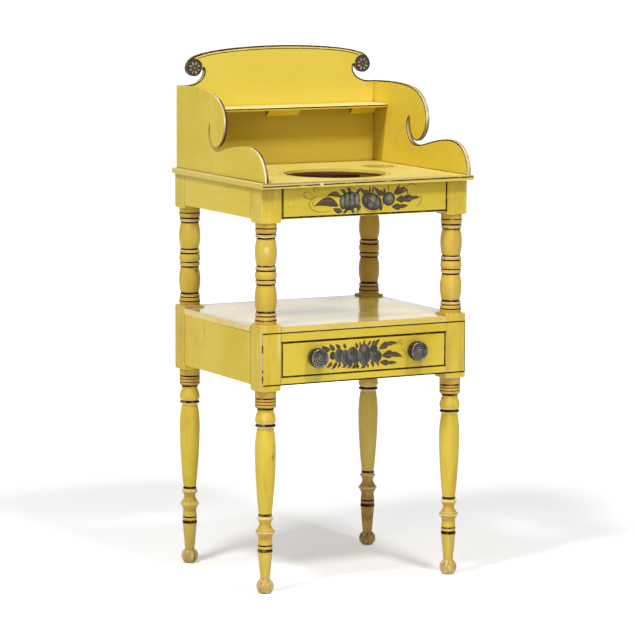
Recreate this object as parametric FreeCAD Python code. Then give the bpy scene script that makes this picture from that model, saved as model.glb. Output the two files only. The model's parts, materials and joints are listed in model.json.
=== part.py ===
import FreeCAD, Part
import os

V = FreeCAD.Vector

# Driving dimensions, in millimetres. X runs across the front, Y from front to back, Z up.
# The origin is on the floor under the middle of the overall width and depth.

# Posts
post_spacing_x = 400.0
post_spacing_y = 325.0
block = 43.0
block_arris = 1.2
neck_diameter = 40.0
neck_height = 9.0
neck_middle_diameter = 40.6
shoulder_height = 2.6
shoulder_diameter = 53.0
shoulder_middle_diameter = 58.6
case_block_height = 134.5
apron_block_height = 75.0

# Turnings, from the bottom up, as rows of (length, middle diameter, end diameter).
# A middle diameter makes a round stretch, and None makes a straight one.
foot_diameter = 17.0
leg_turning = [
    (27.0, 33.0, 19.4),     # ball foot
    (4.0, 18.6, 19.2),      # ankle
    (47.0, 23.4, 27.2),     # lower stem
    (6.0, 28.8, 27.6),      # painted band
    (6.0, None, 27.8),
    (1.0, None, 26.4),      # scribed line
    (1.0, None, 27.8),
    (15.0, 26.6, 25.6),     # upper stem
    (10.0, 29.4, 36.6),     # cup flare
    (2.0, None, 37.6),
    (14.0, 27.0, 21.4),     # cup
    (10.0, 24.4, 31.0),     # disc flare
    (1.8, None, 31.0),
    (2.2, None, 25.0),
    (5.0, 26.2, 24.4),      # painted ring
    (117.0, 35.0, 39.8),    # long taper
    (44.0, 38.5, 32.9),     # taper shoulder
    (5.0, 31.6, 33.6),      # cove
    (1.6, None, 38.0),      # painted disc
    (2.8, 39.4, 38.0),
    (1.6, None, 34.0),
    (9.0, 38.4, 39.8),      # vase
    (16.0, 36.4, 31.0),
    (4.0, None, 31.5),      # waist
    (3.0, None, 38.6),
    (5.0, 40.8, 38.4),      # beads under the block
    (5.0, 40.8, 38.4),
    (6.5, 40.8, 38.4),
    (6.0, 40.8, neck_diameter),
]
column_foot = (3.0, None, neck_diameter)
column_half = [
    (12.0, 41.0, 37.4),     # band by the block
    (4.4, 40.0, 37.0),      # bead
    (0.7, None, 40.0),      # ridge
    (0.9, None, 40.2),
    (0.8, None, 35.0),
    (2.2, None, 35.0),      # painted ring
    (50.5, 42.0, 35.0),     # barrel
    (2.0, None, 35.0),      # painted ring
    (0.8, None, 40.2),      # ridge
    (0.9, None, 40.4),
    (0.7, None, 37.2),
    (4.6, 40.0, 36.4),      # bead
]
column_middle = (18.0, 41.2, 36.4)

# Aprons, top and case panels
apron_lift = 15.5
apron_thickness = 16.0
top_thickness = 10.5
top_overhang_front = 16.0
top_overhang_back = 3.0
top_overhang_side = 5.0
basin_hole_diameter = 198.0
basin_hole_from_front = 139.0
cup_hole_diameter = 60.0
cup_hole_from_side = 70.5
cup_hole_from_back = 142.5
case_lift = 19.3
case_side_thickness = 15.0
case_back_thickness = 12.0
shelf_thickness = 12.0
shelf_drop = 4.0
rail_depth = 45.0
top_rail_height = 16.5
bottom_rail_height = 14.2
tenon_length = 16.0
tenon_thickness = 8.0
tenon_shoulder = 3.0

# Splash boards. Outline points are (distance, height above the top board).
splash_side_thickness = 7.5
splash_back_thickness = 9.0
splash_inset_side = 6.0
splash_inset_back = 8.0
splash_inset_front = 1.0
splash_shoulder_height = 160.5
# The side boards are sawn by hand, and the left scroll is the narrower one.
scroll_tip = {"left": (147.0, 98.5), "right": (152.0, 97.5)}
scroll_from_back = {
    "left": [
        (148.0, 78.0), (154.0, 61.0), (164.5, 53.0), (178.0, 54.0), (193.5, 64.5), (204.5, 82.5),
        (207.5, 99.5), (204.0, 116.0), (189.5, 135.0), (161.0, 150.5), (128.0, 158.0), (69.0, 161.5),
    ],
    "right": [
        (154.0, 75.5), (164.0, 57.5), (179.0, 51.0), (193.0, 54.5), (208.0, 66.5), (217.5, 84.0),
        (219.0, 99.5), (214.5, 115.5), (199.0, 137.0), (167.0, 153.5), (131.0, 159.5), (69.0, 162.0),
    ],
}
trough_from_back = {
    "left": [
        (216.0, 51.8), (190.0, 46.0), (168.0, 43.0), (151.0, 48.5), (142.0, 60.0), (139.0, 79.0),
    ],
    "right": [
        (228.0, 51.0), (203.0, 45.8), (182.0, 43.8), (162.0, 48.0), (149.0, 60.0), (142.5, 79.0),
    ],
}
lobe_from_front = {
    "left": [(7.0, 26.0), (24.0, 47.5), (49.0, 59.5), (88.0, 62.0)],
    "right": [(4.0, 28.0), (20.0, 48.5), (44.0, 59.5), (85.0, 62.0)],
}
crest_cove = [(196.0, 160.8), (181.7, 164.4), (170.5, 172.0), (164.6, 182.5), (165.2, 190.5)]
crest_neck = (169.8, 196.5)
volute_bottom = (187.0, 177.3)
volute_side = (203.3, 193.0)
crest_arch = [(199.3, 205.0), (189.5, 214.0), (176.0, 219.2), (150.0, 224.8), (100.0, 230.4)]
crest_height = 234.0
splash_shelf_height = 117.0
splash_shelf_depth = 56.0
splash_shelf_thickness = 7.5
splash_shelf_round = 2.5
shelf_housing = 2.0
shelf_block_leg = 15.0
shelf_block_centre_length = 70.0
shelf_block_centre_offset = 6.0
shelf_block_end_length = 55.0
top_block_leg = 16.0
top_block_length = 60.0
top_block_from_post = 68.5

# Drawer and the pieces that carry it
drawer_front_thickness = 18.0
drawer_side_thickness = 10.0
drawer_back_thickness = 9.0
drawer_back_inset = 3.0
drawer_back_drop = 6.0
drawer_side_drop = 3.0
drawer_bottom_thickness = 6.0
drawer_bottom_lift = 5.0
drawer_groove = 4.0
tail_length = 12.0
tail_places = (0.28, 0.72)     # shares of the drawer side's height
tail_root = 13.0
tail_tip = 17.0
runner_width = 17.0
runner_height = 13.5
guide_height = 30.0
stop_width = 30.0
stop_height = 4.0
stop_offset_x = 90.0

# Knobs, as a turning from the drawer front outwards
knob_offset_x = 107.5
knob_lift = 1.8
knob_foot_diameter = 20.0
knob_turning = [
    (1.5, None, knob_foot_diameter),    # foot plate
    (3.0, 15.0, 18.0),      # neck
    (2.5, 30.0, 35.4),      # back of the head
    (16.0, 37.6, 36.0),     # barrel of the head
    (1.6, 34.8, 31.0),      # rim
    (-0.9, None, 28.6),     # outer ring
    (1.9, None, 27.2),
    (0.7, None, 22.2),
    (-0.9, None, 20.4),     # inner ring
    (1.3, None, 17.8),
    (0.2, None, 13.2),
    (-0.9, None, 11.6),     # centre boss
    (1.2, None, 8.6),
    (0.3, None, 0.0),
]
bolt_diameter = 5.0
bolt_in_knob = 11.0
bolt_past_nut = 2.0
nut_width = 11.0
nut_thickness = 4.0

# Cut nails, each as long as the board it holds and its bite in the next one
nail_shank = 2.6
nail_head = 4.6
nail_head_thickness = 1.4
top_nail_bite = 27.0
splash_nail_bite = 19.0
shelf_nail_bite = 14.0
drawer_nail_bite = 14.0
edge_nail_heights = (28.0, 84.0, 136.0)
nail_spread_x = 130.0
nail_spread_y = 95.0
splash_nail_spread_x = 170.0
splash_nail_spread_y = 60.0

# Clearances
joint_clearance = 0.1
notch_clearance = 0.3
drawer_side_gap = 1.0
drawer_top_gap = 1.0
drawer_front_bottom_gap = 0.8
drawer_running_gap = 0.3
drawer_back_gap = 36.0
stop_gap = 0.3
bolt_clearance = 0.15

# Plan positions
half_block = block / 2
post_x = post_spacing_x / 2
side_x = post_x + half_block
inner_x = post_x - half_block
top_x = side_x + top_overhang_side
knob_reach = sum(row[0] for row in knob_turning)
front_reach = max(top_overhang_front, knob_reach)
overall_depth = post_spacing_y + block + front_reach + top_overhang_back
front_y = -overall_depth / 2 + front_reach
back_y = overall_depth / 2 - top_overhang_back
top_front_y = front_y - top_overhang_front
top_back_y = back_y + top_overhang_back
middle_y = (front_y + back_y) / 2
inner_front = front_y + block
inner_back = back_y - block

# Heights, stacked from the floor up
case_z = sum(row[0] for row in leg_turning)
case_top = case_z + case_block_height
column_length = column_foot[0] + 2 * sum(row[0] for row in column_half) + column_middle[0]
apron_z = case_top + column_length
frame_top = apron_z + apron_block_height
top_z = frame_top + top_thickness
shelf_z = case_top - shelf_drop - shelf_thickness
panel_z = case_z + case_lift
apron_bottom = apron_z + apron_lift
opening_z = panel_z + bottom_rail_height
opening_top = shelf_z - top_rail_height

# Splash board positions
splash_x = top_x - splash_inset_side
splash_inner_x = splash_x - splash_side_thickness
splash_back_y = top_back_y - splash_inset_back
splash_face_y = splash_back_y - splash_back_thickness
splash_front_y = top_front_y + splash_inset_front
splash_shelf_z = top_z + splash_shelf_height - splash_shelf_thickness

# Drawer positions
case_back_face = back_y - case_back_thickness
drawer_end = case_back_face - drawer_back_gap
drawer_x = inner_x - drawer_side_gap
drawer_inner_x = drawer_x - drawer_side_thickness
drawer_face_back = front_y + drawer_front_thickness
drawer_z = opening_z + drawer_running_gap
drawer_front_z = opening_z + drawer_front_bottom_gap
drawer_top = opening_top - drawer_top_gap
drawer_bottom_z = drawer_z + drawer_bottom_lift
drawer_back_y = drawer_end - drawer_back_inset - drawer_back_thickness
knob_z = (drawer_front_z + drawer_top) / 2 + knob_lift
rail_back = front_y + rail_depth
basin_hole_y = top_front_y + basin_hole_from_front
cup_hole_x = top_x - cup_hole_from_side
cup_hole_y = top_back_y - cup_hole_from_back

SIDES = (("left", -1), ("right", 1))
ENDS = (("front", front_y + half_block), ("back", back_y - half_block))


def box(x0, x1, y0, y1, z0, z1):
    """A box between two corners, in any order of each pair."""
    low = V(min(x0, x1), min(y0, y1), min(z0, z1))
    return Part.makeBox(abs(x1 - x0), abs(y1 - y0), abs(z1 - z0), low)


def turned(start_diameter, rows):
    """A solid turned about Z from z = 0, with one edge of its outline per row."""
    low = V(start_diameter / 2, 0, 0)
    edges = [Part.LineSegment(V(0, 0, 0), low).toShape()]
    for length, middle_diameter, end_diameter in rows:
        high = V(end_diameter / 2, 0, low.z + length)
        if middle_diameter is None:
            edges.append(Part.LineSegment(low, high).toShape())
        else:
            middle = V(middle_diameter / 2, 0, low.z + length / 2)
            edges.append(Part.Arc(low, middle, high).toShape())
        low = high
    if low.x > 0:
        edges.append(Part.LineSegment(low, V(0, 0, low.z)).toShape())
    edges.append(Part.LineSegment(V(0, 0, low.z), V(0, 0, 0)).toShape())
    return Part.Face(Part.Wire(edges)).revolve(V(0, 0, 0), V(0, 0, 1), 360)


def prism(points, along):
    """A prism on a closed polygon, pushed along a vector."""
    return Part.Face(Part.makePolygon(points + [points[0]])).extrude(along)


def curve(points):
    """A smooth curve through the points."""
    spline = Part.BSplineCurve()
    spline.interpolate(points)
    return spline.toShape()


def mirrored_rows(start_diameter, rows):
    """The same turning rows, read from the other end."""
    starts = [start_diameter] + [row[2] for row in rows[:-1]]
    return [(row[0], row[1], start) for row, start in zip(reversed(rows), reversed(starts))]


def shouldered_block(height, top_shoulder):
    """The square of a post on its turned neck, its corners eased below, and above too if asked."""
    square = box(-half_block, half_block, -half_block, half_block, 0, height)
    uprights = [edge for edge in square.Edges if edge.BoundBox.ZLength > block_arris]
    square = square.makeFillet(block_arris, uprights)
    corner_diameter = block * 2 ** 0.5
    rows = [
        (neck_height, neck_middle_diameter, neck_diameter),
        (0.0, None, shoulder_diameter),
        (shoulder_height, shoulder_middle_diameter, corner_diameter),
    ]
    rest = height - neck_height - shoulder_height
    if top_shoulder:
        rows.append((rest - shoulder_height, None, corner_diameter))
        rows.append((shoulder_height, shoulder_middle_diameter, shoulder_diameter))
    else:
        rows.append((rest, None, corner_diameter))
    return square.common(turned(neck_diameter, rows))


def plain_post():
    """One post, standing on the origin."""
    column = [column_foot] + column_half + [column_middle] + mirrored_rows(neck_diameter, column_half)
    case_block = shouldered_block(case_block_height, True)
    case_block.translate(V(0, 0, case_z))
    turned_column = turned(neck_diameter, column)
    turned_column.translate(V(0, 0, case_top))
    apron_block = shouldered_block(apron_block_height, False)
    apron_block.translate(V(0, 0, apron_z))
    leg = turned(foot_diameter, leg_turning)
    return leg.fuse([case_block, turned_column, apron_block]).removeSplitter()


def span_x(y0, y1, z0, z1, past=0.0):
    """A bar between the left and right posts, run past their inner faces."""
    return box(-inner_x - past, inner_x + past, y0, y1, z0, z1)


def span_y(x0, x1, z0, z1, past=0.0):
    """A bar between the front and back posts, run past their inner faces."""
    return box(x0, x1, inner_front - past, inner_back + past, z0, z1)


# Boards held between posts: the way they span, the two faces across, and the bottom and top.
FRAMED = {
    "apron_front": (span_x, front_y, front_y + apron_thickness, apron_bottom, frame_top),
    "apron_back": (span_x, back_y - apron_thickness, back_y, apron_bottom, frame_top),
    "apron_left": (span_y, -side_x, -side_x + apron_thickness, apron_bottom, frame_top),
    "apron_right": (span_y, side_x - apron_thickness, side_x, apron_bottom, frame_top),
    "drawer_rail_top": (span_x, front_y, rail_back, opening_top, shelf_z),
    "drawer_rail_bottom": (span_x, front_y, rail_back, panel_z, opening_z),
    "case_side_left": (span_y, -side_x, -side_x + case_side_thickness, panel_z, shelf_z),
    "case_side_right": (span_y, side_x - case_side_thickness, side_x, panel_z, shelf_z),
    "case_back": (span_x, case_back_face, back_y, panel_z, shelf_z),
}


def tenons(span, face_a, face_b, bottom, top, grow=0.0):
    """The bar whose ends are a framed board's two tenons, grown to cut their mortises."""
    middle = (face_a + face_b) / 2
    half = tenon_thickness / 2 + grow
    low = bottom + tenon_shoulder - grow
    high = top - tenon_shoulder + grow
    return span(middle - half, middle + half, low, high, tenon_length + grow)


def framed_boards():
    """Aprons, rails and case panels, each with a tenon on both ends."""
    return {name: member[0](*member[1:]).fuse(tenons(*member)).removeSplitter()
            for name, member in FRAMED.items()}


def posts():
    """The four posts, mortised for the boards between them."""
    mortises = [tenons(*member, grow=joint_clearance) for member in FRAMED.values()]
    nodes = {}
    for end, y in ENDS:
        for side, sign in SIDES:
            post = plain_post()
            post.translate(V(sign * post_x, y, 0))
            nodes["post_%s_%s" % (end, side)] = post.cut(mortises)
    return nodes


def top_board():
    """The top, with its basin hole and two cup holes."""
    board = box(-top_x, top_x, top_front_y, top_back_y, frame_top, top_z)
    holes = [(0.0, basin_hole_y, basin_hole_diameter)]
    holes += [(sign * cup_hole_x, cup_hole_y, cup_hole_diameter) for _, sign in SIDES]
    drills = [Part.makeCylinder(d / 2, top_thickness, V(x, y, frame_top)) for x, y, d in holes]
    return board.cut(drills)


def top_blocks():
    """Glue blocks in the corners between the aprons and the top."""
    nodes = {}
    leg = top_block_leg
    side_face = side_x - apron_thickness
    back_face = back_y - apron_thickness
    for side, sign in SIDES:
        y = middle_y - top_block_length / 2
        corner = V(sign * side_face, y, frame_top)
        points = [corner, corner - V(sign * leg, 0, 0), corner - V(0, 0, leg)]
        nodes["top_block_" + side] = prism(points, V(0, top_block_length, 0))
        x = sign * (inner_x - top_block_from_post) - top_block_length / 2
        corner = V(x, back_face, frame_top)
        points = [corner, corner - V(0, leg, 0), corner - V(0, 0, leg)]
        nodes["top_block_back_" + side] = prism(points, V(top_block_length, 0, 0))
    return nodes


def splash_shelf(grow=0.0):
    """The small shelf, housed in the side splash boards, or the tool that cuts its housings."""
    reach = splash_inner_x + shelf_housing + grow
    front = splash_face_y - splash_shelf_depth
    shelf = box(-reach, reach, front - grow, splash_face_y, splash_shelf_z - grow,
                splash_shelf_z + splash_shelf_thickness + grow)
    edges = [edge for edge in shelf.Edges
             if edge.BoundBox.YMax < front + joint_clearance and edge.BoundBox.XLength > reach]
    return shelf.makeFillet(splash_shelf_round, edges)


def side_outline(side):
    """The wire of a side splash board in the YZ plane, from its back foot round by the front."""
    def from_back(point):
        return V(0, splash_back_y - point[0], top_z + point[1])

    def from_front(point):
        return V(0, splash_front_y + point[0], top_z + point[1])

    back_foot = from_back((0.0, 0.0))
    front_foot = from_front((0.0, 0.0))
    tip = from_back(scroll_tip[side])
    back_top = from_back((0.0, splash_shoulder_height))
    lobe = [front_foot] + [from_front(point) for point in lobe_from_front[side]]
    trough = [from_back(point) for point in trough_from_back[side]]
    scroll = [tip] + [from_back(point) for point in scroll_from_back[side]] + [back_top]
    return Part.Wire([
        Part.LineSegment(back_foot, front_foot).toShape(),
        curve(lobe + trough + [tip]),
        curve(scroll),
        Part.LineSegment(back_top, back_foot).toShape(),
    ])


def splash_sides():
    """The two side splash boards, grooved for the small shelf."""
    nodes = {}
    groove = splash_shelf(joint_clearance)
    for side, sign in SIDES:
        board = Part.Face(side_outline(side)).extrude(V(splash_side_thickness, 0, 0))
        board.translate(V(min(sign * splash_x, sign * splash_inner_x), 0, 0))
        nodes["splash_" + side] = board.cut(groove)
    return nodes


def splash_back():
    """The back splash board, with its scrolled crest."""
    def at(point, sign=1):
        return V(sign * point[0], splash_face_y, top_z + point[1])

    foot = (splash_inner_x, 0.0)
    shoulder = (splash_inner_x, splash_shoulder_height)
    arch = [at(point) for point in [volute_side] + crest_arch] + [at((0.0, crest_height))]
    arch += [at(point, -1) for point in reversed([volute_side] + crest_arch)]
    edges = [Part.LineSegment(at(foot, -1), at(foot)).toShape(), curve(arch)]
    for _, sign in SIDES:
        edges.append(Part.LineSegment(at(foot, sign), at(shoulder, sign)).toShape())
        edges.append(curve([at(point, sign) for point in [shoulder] + crest_cove + [crest_neck]]))
        ends = [at(point, sign) for point in (crest_neck, volute_bottom, volute_side)]
        edges.append(Part.Arc(*ends).toShape())
    outline = Part.Wire(Part.sortEdges(edges)[0])
    return Part.Face(outline).extrude(V(0, splash_back_thickness, 0))


def shelf_blocks():
    """Triangular glue blocks under the small shelf, against the back splash board."""
    leg = shelf_block_leg
    spans = {
        "left": (-splash_inner_x, shelf_block_end_length),
        "centre": (shelf_block_centre_offset - shelf_block_centre_length / 2, shelf_block_centre_length),
        "right": (splash_inner_x - shelf_block_end_length, shelf_block_end_length),
    }
    nodes = {}
    for name, (x, length) in spans.items():
        corner = V(x, splash_face_y, splash_shelf_z)
        points = [corner, corner - V(0, leg, 0), corner - V(0, 0, leg)]
        nodes["shelf_block_" + name] = prism(points, V(length, 0, 0))
    return nodes


def lower_shelf():
    """The lower shelf, notched at its corners round the posts."""
    board = box(-side_x, side_x, front_y, back_y, shelf_z, shelf_z + shelf_thickness)
    reach = half_block + notch_clearance
    notches = []
    for _, y in ENDS:
        for _, sign in SIDES:
            x = sign * post_x
            notches.append(box(x - reach, x + reach, y - reach, y + reach, 0, top_z))
    return board.cut(notches)


def drawer_carriers():
    """Runners, guides, kickers and stops for the drawer."""
    nodes = {}
    guide_z = opening_z - runner_height
    for side, sign in SIDES:
        inner = sign * inner_x
        edge = sign * (inner_x - runner_width)
        panel = sign * (side_x - case_side_thickness)
        stop = sign * stop_offset_x
        nodes["drawer_runner_" + side] = box(edge, inner, rail_back, case_back_face, guide_z, opening_z)
        nodes["drawer_guide_" + side] = box(inner, panel, inner_front, inner_back, guide_z,
                                            guide_z + guide_height)
        nodes["drawer_kicker_" + side] = box(edge, inner, rail_back, case_back_face, opening_top, shelf_z)
        nodes["drawer_stop_" + side] = box(stop - stop_width / 2, stop + stop_width / 2,
                                           drawer_face_back + stop_gap, rail_back,
                                           opening_z, opening_z + stop_height)
    return nodes


def tail(sign, z, grow=0.0):
    """One dovetail of a drawer side, or the tool that cuts its socket in the drawer front."""
    root = tail_root / 2 + grow
    tip = tail_tip / 2 + grow
    tip_y = drawer_face_back - tail_length - grow
    x = sign * (drawer_inner_x - grow)
    points = [V(x, drawer_face_back, z - root), V(x, drawer_face_back, z + root),
              V(x, tip_y, z + tip), V(x, tip_y, z - tip)]
    return prism(points, V(sign * (drawer_side_thickness + grow), 0, 0))


def drawer_bottom(grow=0.0):
    """The drawer bottom, or the tool that cuts its grooves."""
    reach = drawer_inner_x + drawer_groove + grow
    return box(-reach, reach, drawer_face_back - drawer_groove - grow,
               drawer_back_y + drawer_back_thickness + grow,
               drawer_bottom_z - grow, drawer_bottom_z + drawer_bottom_thickness + grow)


def drawer_back(grow=0.0):
    """The drawer back, housed in the sides and standing on the bottom, or its housing's tool."""
    reach = drawer_inner_x + drawer_groove + grow
    low = drawer_bottom_z + drawer_bottom_thickness
    return box(-reach, reach, drawer_back_y - grow, drawer_back_y + drawer_back_thickness + grow,
               low, drawer_top - drawer_back_drop + grow)


def bolt_hole(sign, diameter, y0, y1):
    """A round bar along the axis of one knob."""
    return Part.makeCylinder(diameter / 2, y1 - y0, V(sign * knob_offset_x, y0, knob_z), V(0, 1, 0))


def drawer_box():
    """The drawer's front, sides, back and bottom."""
    side_top = drawer_top - drawer_side_drop
    height = side_top - drawer_z
    tail_heights = [drawer_z + share * height for share in tail_places]
    grooves = [drawer_bottom(joint_clearance), drawer_back(joint_clearance)]
    front = box(-drawer_x, drawer_x, front_y, drawer_face_back, drawer_front_z, drawer_top)
    cuts = [drawer_bottom(joint_clearance)]
    nodes = {}
    for side, sign in SIDES:
        board = box(sign * drawer_inner_x, sign * drawer_x, drawer_face_back, drawer_end,
                    drawer_z, side_top)
        board = board.fuse([tail(sign, z) for z in tail_heights]).removeSplitter()
        nodes["drawer_side_" + side] = board.cut(grooves)
        cuts += [tail(sign, z, joint_clearance) for z in tail_heights]
        cuts.append(bolt_hole(sign, bolt_diameter + 2 * bolt_clearance, front_y, drawer_face_back))
    nodes["drawer_front"] = front.cut(cuts)
    nodes["drawer_back"] = drawer_back()
    nodes["drawer_bottom"] = drawer_bottom()
    return nodes


def knobs():
    """Two ringed knobs, each with its bolt and a square nut inside the drawer front."""
    nodes = {}
    nuts = []
    nut_end = drawer_face_back + nut_thickness
    for side, sign in SIDES:
        knob = turned(knob_foot_diameter, knob_turning)
        knob.rotate(V(0, 0, 0), V(1, 0, 0), 90)
        knob.translate(V(sign * knob_offset_x, front_y, knob_z))
        socket = bolt_hole(sign, bolt_diameter + 2 * bolt_clearance, front_y - bolt_in_knob, front_y)
        nodes["knob_" + side] = knob.cut(socket)
        nodes["knob_bolt_" + side] = bolt_hole(sign, bolt_diameter, front_y - bolt_in_knob,
                                               nut_end + bolt_past_nut)
        x = sign * knob_offset_x
        nut = box(x - nut_width / 2, x + nut_width / 2, drawer_face_back, nut_end,
                  knob_z - nut_width / 2, knob_z + nut_width / 2)
        nuts.append(nut.cut(bolt_hole(sign, bolt_diameter + 2 * bolt_clearance, drawer_face_back, nut_end)))
    nodes["knob_nuts"] = Part.makeCompound(nuts)
    return nodes


def nail(point, way, length):
    """A cut nail with its head flush at a point, driven one way along an axis."""
    def bar(width, reach):
        across = V(1, 1, 1) - V(abs(way.x), abs(way.y), abs(way.z))
        a = point - across * (width / 2)
        b = point + across * (width / 2) + way * reach
        return box(a.x, b.x, a.y, b.y, a.z, b.z)

    return bar(nail_shank, length).fuse(bar(nail_head, nail_head_thickness)).removeSplitter()


def top_nails():
    """Nails down through the top into the aprons."""
    inset = apron_thickness / 2
    spots = []
    for _, sign in SIDES:
        spots += [(sign * nail_spread_x, y) for y in (front_y + inset, back_y - inset)]
        spots += [(sign * (side_x - inset), middle_y + end * nail_spread_y) for end in (-1, 1)]
    length = top_thickness + top_nail_bite
    return [nail(V(x, y, top_z), V(0, 0, -1), length) for x, y in spots]


def splash_nails():
    """Nails through the side splash boards into the edges of the back one, and up through the top."""
    edge_y = splash_back_y - splash_back_thickness / 2
    foot_x = splash_x - splash_side_thickness / 2
    edge_length = splash_side_thickness + splash_nail_bite
    foot_length = top_thickness + splash_nail_bite
    nails = []
    for _, sign in SIDES:
        for height in edge_nail_heights:
            nails.append(nail(V(sign * splash_x, edge_y, top_z + height), V(-sign, 0, 0), edge_length))
        feet = [(sign * splash_nail_spread_x, edge_y)]
        feet += [(sign * foot_x, middle_y + end * splash_nail_spread_y) for end in (-1, 1)]
        nails += [nail(V(x, y, frame_top), V(0, 0, 1), foot_length) for x, y in feet]
    return nails


def lower_shelf_nails():
    """Nails down through the lower shelf into the case sides and the top rail."""
    spots = []
    for _, sign in SIDES:
        x = sign * (side_x - case_side_thickness / 2)
        spots += [(x, middle_y + end * nail_spread_y) for end in (-1, 1)]
        spots.append((sign * nail_spread_x, front_y + rail_depth / 2))
    length = shelf_thickness + shelf_nail_bite
    return [nail(V(x, y, shelf_z + shelf_thickness), V(0, 0, -1), length) for x, y in spots]


def drawer_bottom_nails():
    """Nails up through the drawer bottom into the drawer back."""
    y = drawer_back_y + drawer_back_thickness / 2
    length = drawer_bottom_thickness + drawer_nail_bite
    places = (-nail_spread_x, 0.0, nail_spread_x)
    return [nail(V(x, y, drawer_bottom_z), V(0, 0, 1), length) for x in places]


def nailed(nodes):
    """Add the nails, and cut their holes in every board that they pass through."""
    groups = {
        "top_nails": (top_nails, ["top_board", "apron_front", "apron_back", "apron_left", "apron_right"]),
        "splash_nails": (splash_nails, ["splash_left", "splash_right", "splash_back", "top_board"]),
        "lower_shelf_nails": (lower_shelf_nails, ["lower_shelf", "case_side_left", "case_side_right",
                                                  "drawer_rail_top"]),
        "drawer_bottom_nails": (drawer_bottom_nails, ["drawer_bottom", "drawer_back"]),
    }
    for name, (make, boards) in groups.items():
        nails = make()
        for board in boards:
            nodes[board] = nodes[board].cut(nails)
        nodes[name] = Part.makeCompound(nails)
    return nodes


def washstand():
    """Every piece of the washstand, by node name."""
    nodes = {"top_board": top_board(), "splash_back": splash_back(), "splash_shelf": splash_shelf(),
             "lower_shelf": lower_shelf()}
    groups = (posts, framed_boards, top_blocks, splash_sides, shelf_blocks, drawer_carriers,
              drawer_box, knobs)
    for group in groups:
        nodes.update(group())
    return nailed(nodes)


os.makedirs("parts", exist_ok=True)
for node, shape in washstand().items():
    shape.exportStep("parts/%s.step" % node)
    volume = sum(solid.Volume for solid in shape.Solids)
    print("%-22s %2d solid(s) %10.1f mm3 valid %s" % (node, len(shape.Solids), volume, shape.isValid()))
print("top board at %.1f mm, crest at %.1f mm" % (top_z, top_z + crest_height))
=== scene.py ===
import json
import math

import bmesh
import bpy
from bpy.props import FloatProperty, FloatVectorProperty, PointerProperty
from mathutils import Matrix, Vector


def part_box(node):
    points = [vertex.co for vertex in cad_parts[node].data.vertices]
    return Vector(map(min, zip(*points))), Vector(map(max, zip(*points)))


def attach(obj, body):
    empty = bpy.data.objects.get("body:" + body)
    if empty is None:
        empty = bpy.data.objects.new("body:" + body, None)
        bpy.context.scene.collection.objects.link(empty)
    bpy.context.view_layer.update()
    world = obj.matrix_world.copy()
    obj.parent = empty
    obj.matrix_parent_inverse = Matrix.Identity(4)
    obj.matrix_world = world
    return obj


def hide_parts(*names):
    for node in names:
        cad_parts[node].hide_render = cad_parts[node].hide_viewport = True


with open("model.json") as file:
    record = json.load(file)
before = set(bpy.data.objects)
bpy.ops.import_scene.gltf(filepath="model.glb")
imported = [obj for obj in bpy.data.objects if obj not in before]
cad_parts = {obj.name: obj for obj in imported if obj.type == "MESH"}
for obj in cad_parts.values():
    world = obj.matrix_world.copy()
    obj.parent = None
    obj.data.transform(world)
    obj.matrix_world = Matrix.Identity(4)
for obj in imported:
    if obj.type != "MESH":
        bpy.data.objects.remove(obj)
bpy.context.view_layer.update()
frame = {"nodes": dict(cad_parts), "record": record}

bl_info = {
    "name": "Painted washstand",
    "version": (1, 0, 0),
    "blender": (4, 5, 0),
    "location": "3D View > Sidebar > Washstand",
    "description": "Paints and dresses a turned washstand, piece by piece, and sets its studio",
    "category": "Object",
}

MM = 0.001
SIDES = ("left", "right")
LEFT, FRONT, BACK, UP, DOWN = (-1, 0, 0), (0, -1, 0), (0, 1, 0), (0, 0, 1), (0, 0, -1)

# Places read from the frame, in metres
TOP_LOW, TOP_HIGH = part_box("top_board")
APRON_LOW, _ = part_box("apron_front")
RAIL_LOW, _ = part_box("drawer_rail_bottom")
DRAWER_LOW, DRAWER_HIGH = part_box("drawer_front")
SHELF_LOW, SHELF_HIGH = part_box("lower_shelf")
CREST_LOW, CREST_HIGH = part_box("splash_back")
POST_LOW, POST_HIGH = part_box("post_front_left")
BACK_POST_LOW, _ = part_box("post_back_left")
BOARD_LOW, BOARD_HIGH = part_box("splash_right")
SMALL_LOW, SMALL_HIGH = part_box("splash_shelf")
KNOB_AXIS = sum(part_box("knob_right"), Vector()) / 2
MOUNTS = {mount["name"]: mount for mount in frame["record"]["mounts"]}

# Places of the crest above the top, and of the painted lines, in metres
CREST_CUSP = Vector((169.8 * MM, TOP_HIGH.z + 196.5 * MM))
CREST_EYE = Vector((186.3 * MM, TOP_HIGH.z + 193.5 * MM))
ARCH_HALF, ARCH_FOOT = CREST_HIGH.x - 36 * MM, CREST_HIGH.z - 27 * MM
LINE_INSET = 2.5 * MM
POST_LINE_SHIFT = 1.6 * MM

# Painted, worn and tan rings of the posts, as (lowest, highest) heights in millimetres. The tan
# rings of the cups on the legs paint the shade under their flanges.
LEG, COLUMN = (0, 400), (500, 710)
LEG_RINGS = [(79.6, 84.8), (90.2, 92.2), (148.4, 153.0), (319.8, 324.2), (350.6, 355.0),
             (360.4, 362.4), (366.0, 367.8), (371.8, 373.8)]
LEG_RUBS = [(116.4, 119.6), (142.6, 147.0), (316.8, 319.6), (324.4, 327.4)]
LEG_TAN = [(102.0, 115.0), (122.0, 141.0), (356.0, 387.4)]
LEG_FLANGE = (119.8 * MM, 121.4 * MM)
COLUMN_RINGS = [(519.6, 521.8), (527.2, 529.8), (534.0, 538.0), (586.4, 590.2), (595.2, 597.8),
                (613.2, 615.8), (620.8, 624.2), (673.2, 677.0), (681.8, 684.6), (692.6, 695.0)]
COLUMN_RUBS = [(531.0, 534.0), (590.4, 593.4), (617.8, 620.8), (677.0, 680.2)]
COLUMN_TAN = [(513.2, 519.4), (522.0, 527.0), (685.0, 692.0), (695.4, 704.0)]
# Heights of the columns that are painted darker as shade under the top, in metres
COLUMN_SHADE = (515 * MM, 700 * MM)
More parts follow.
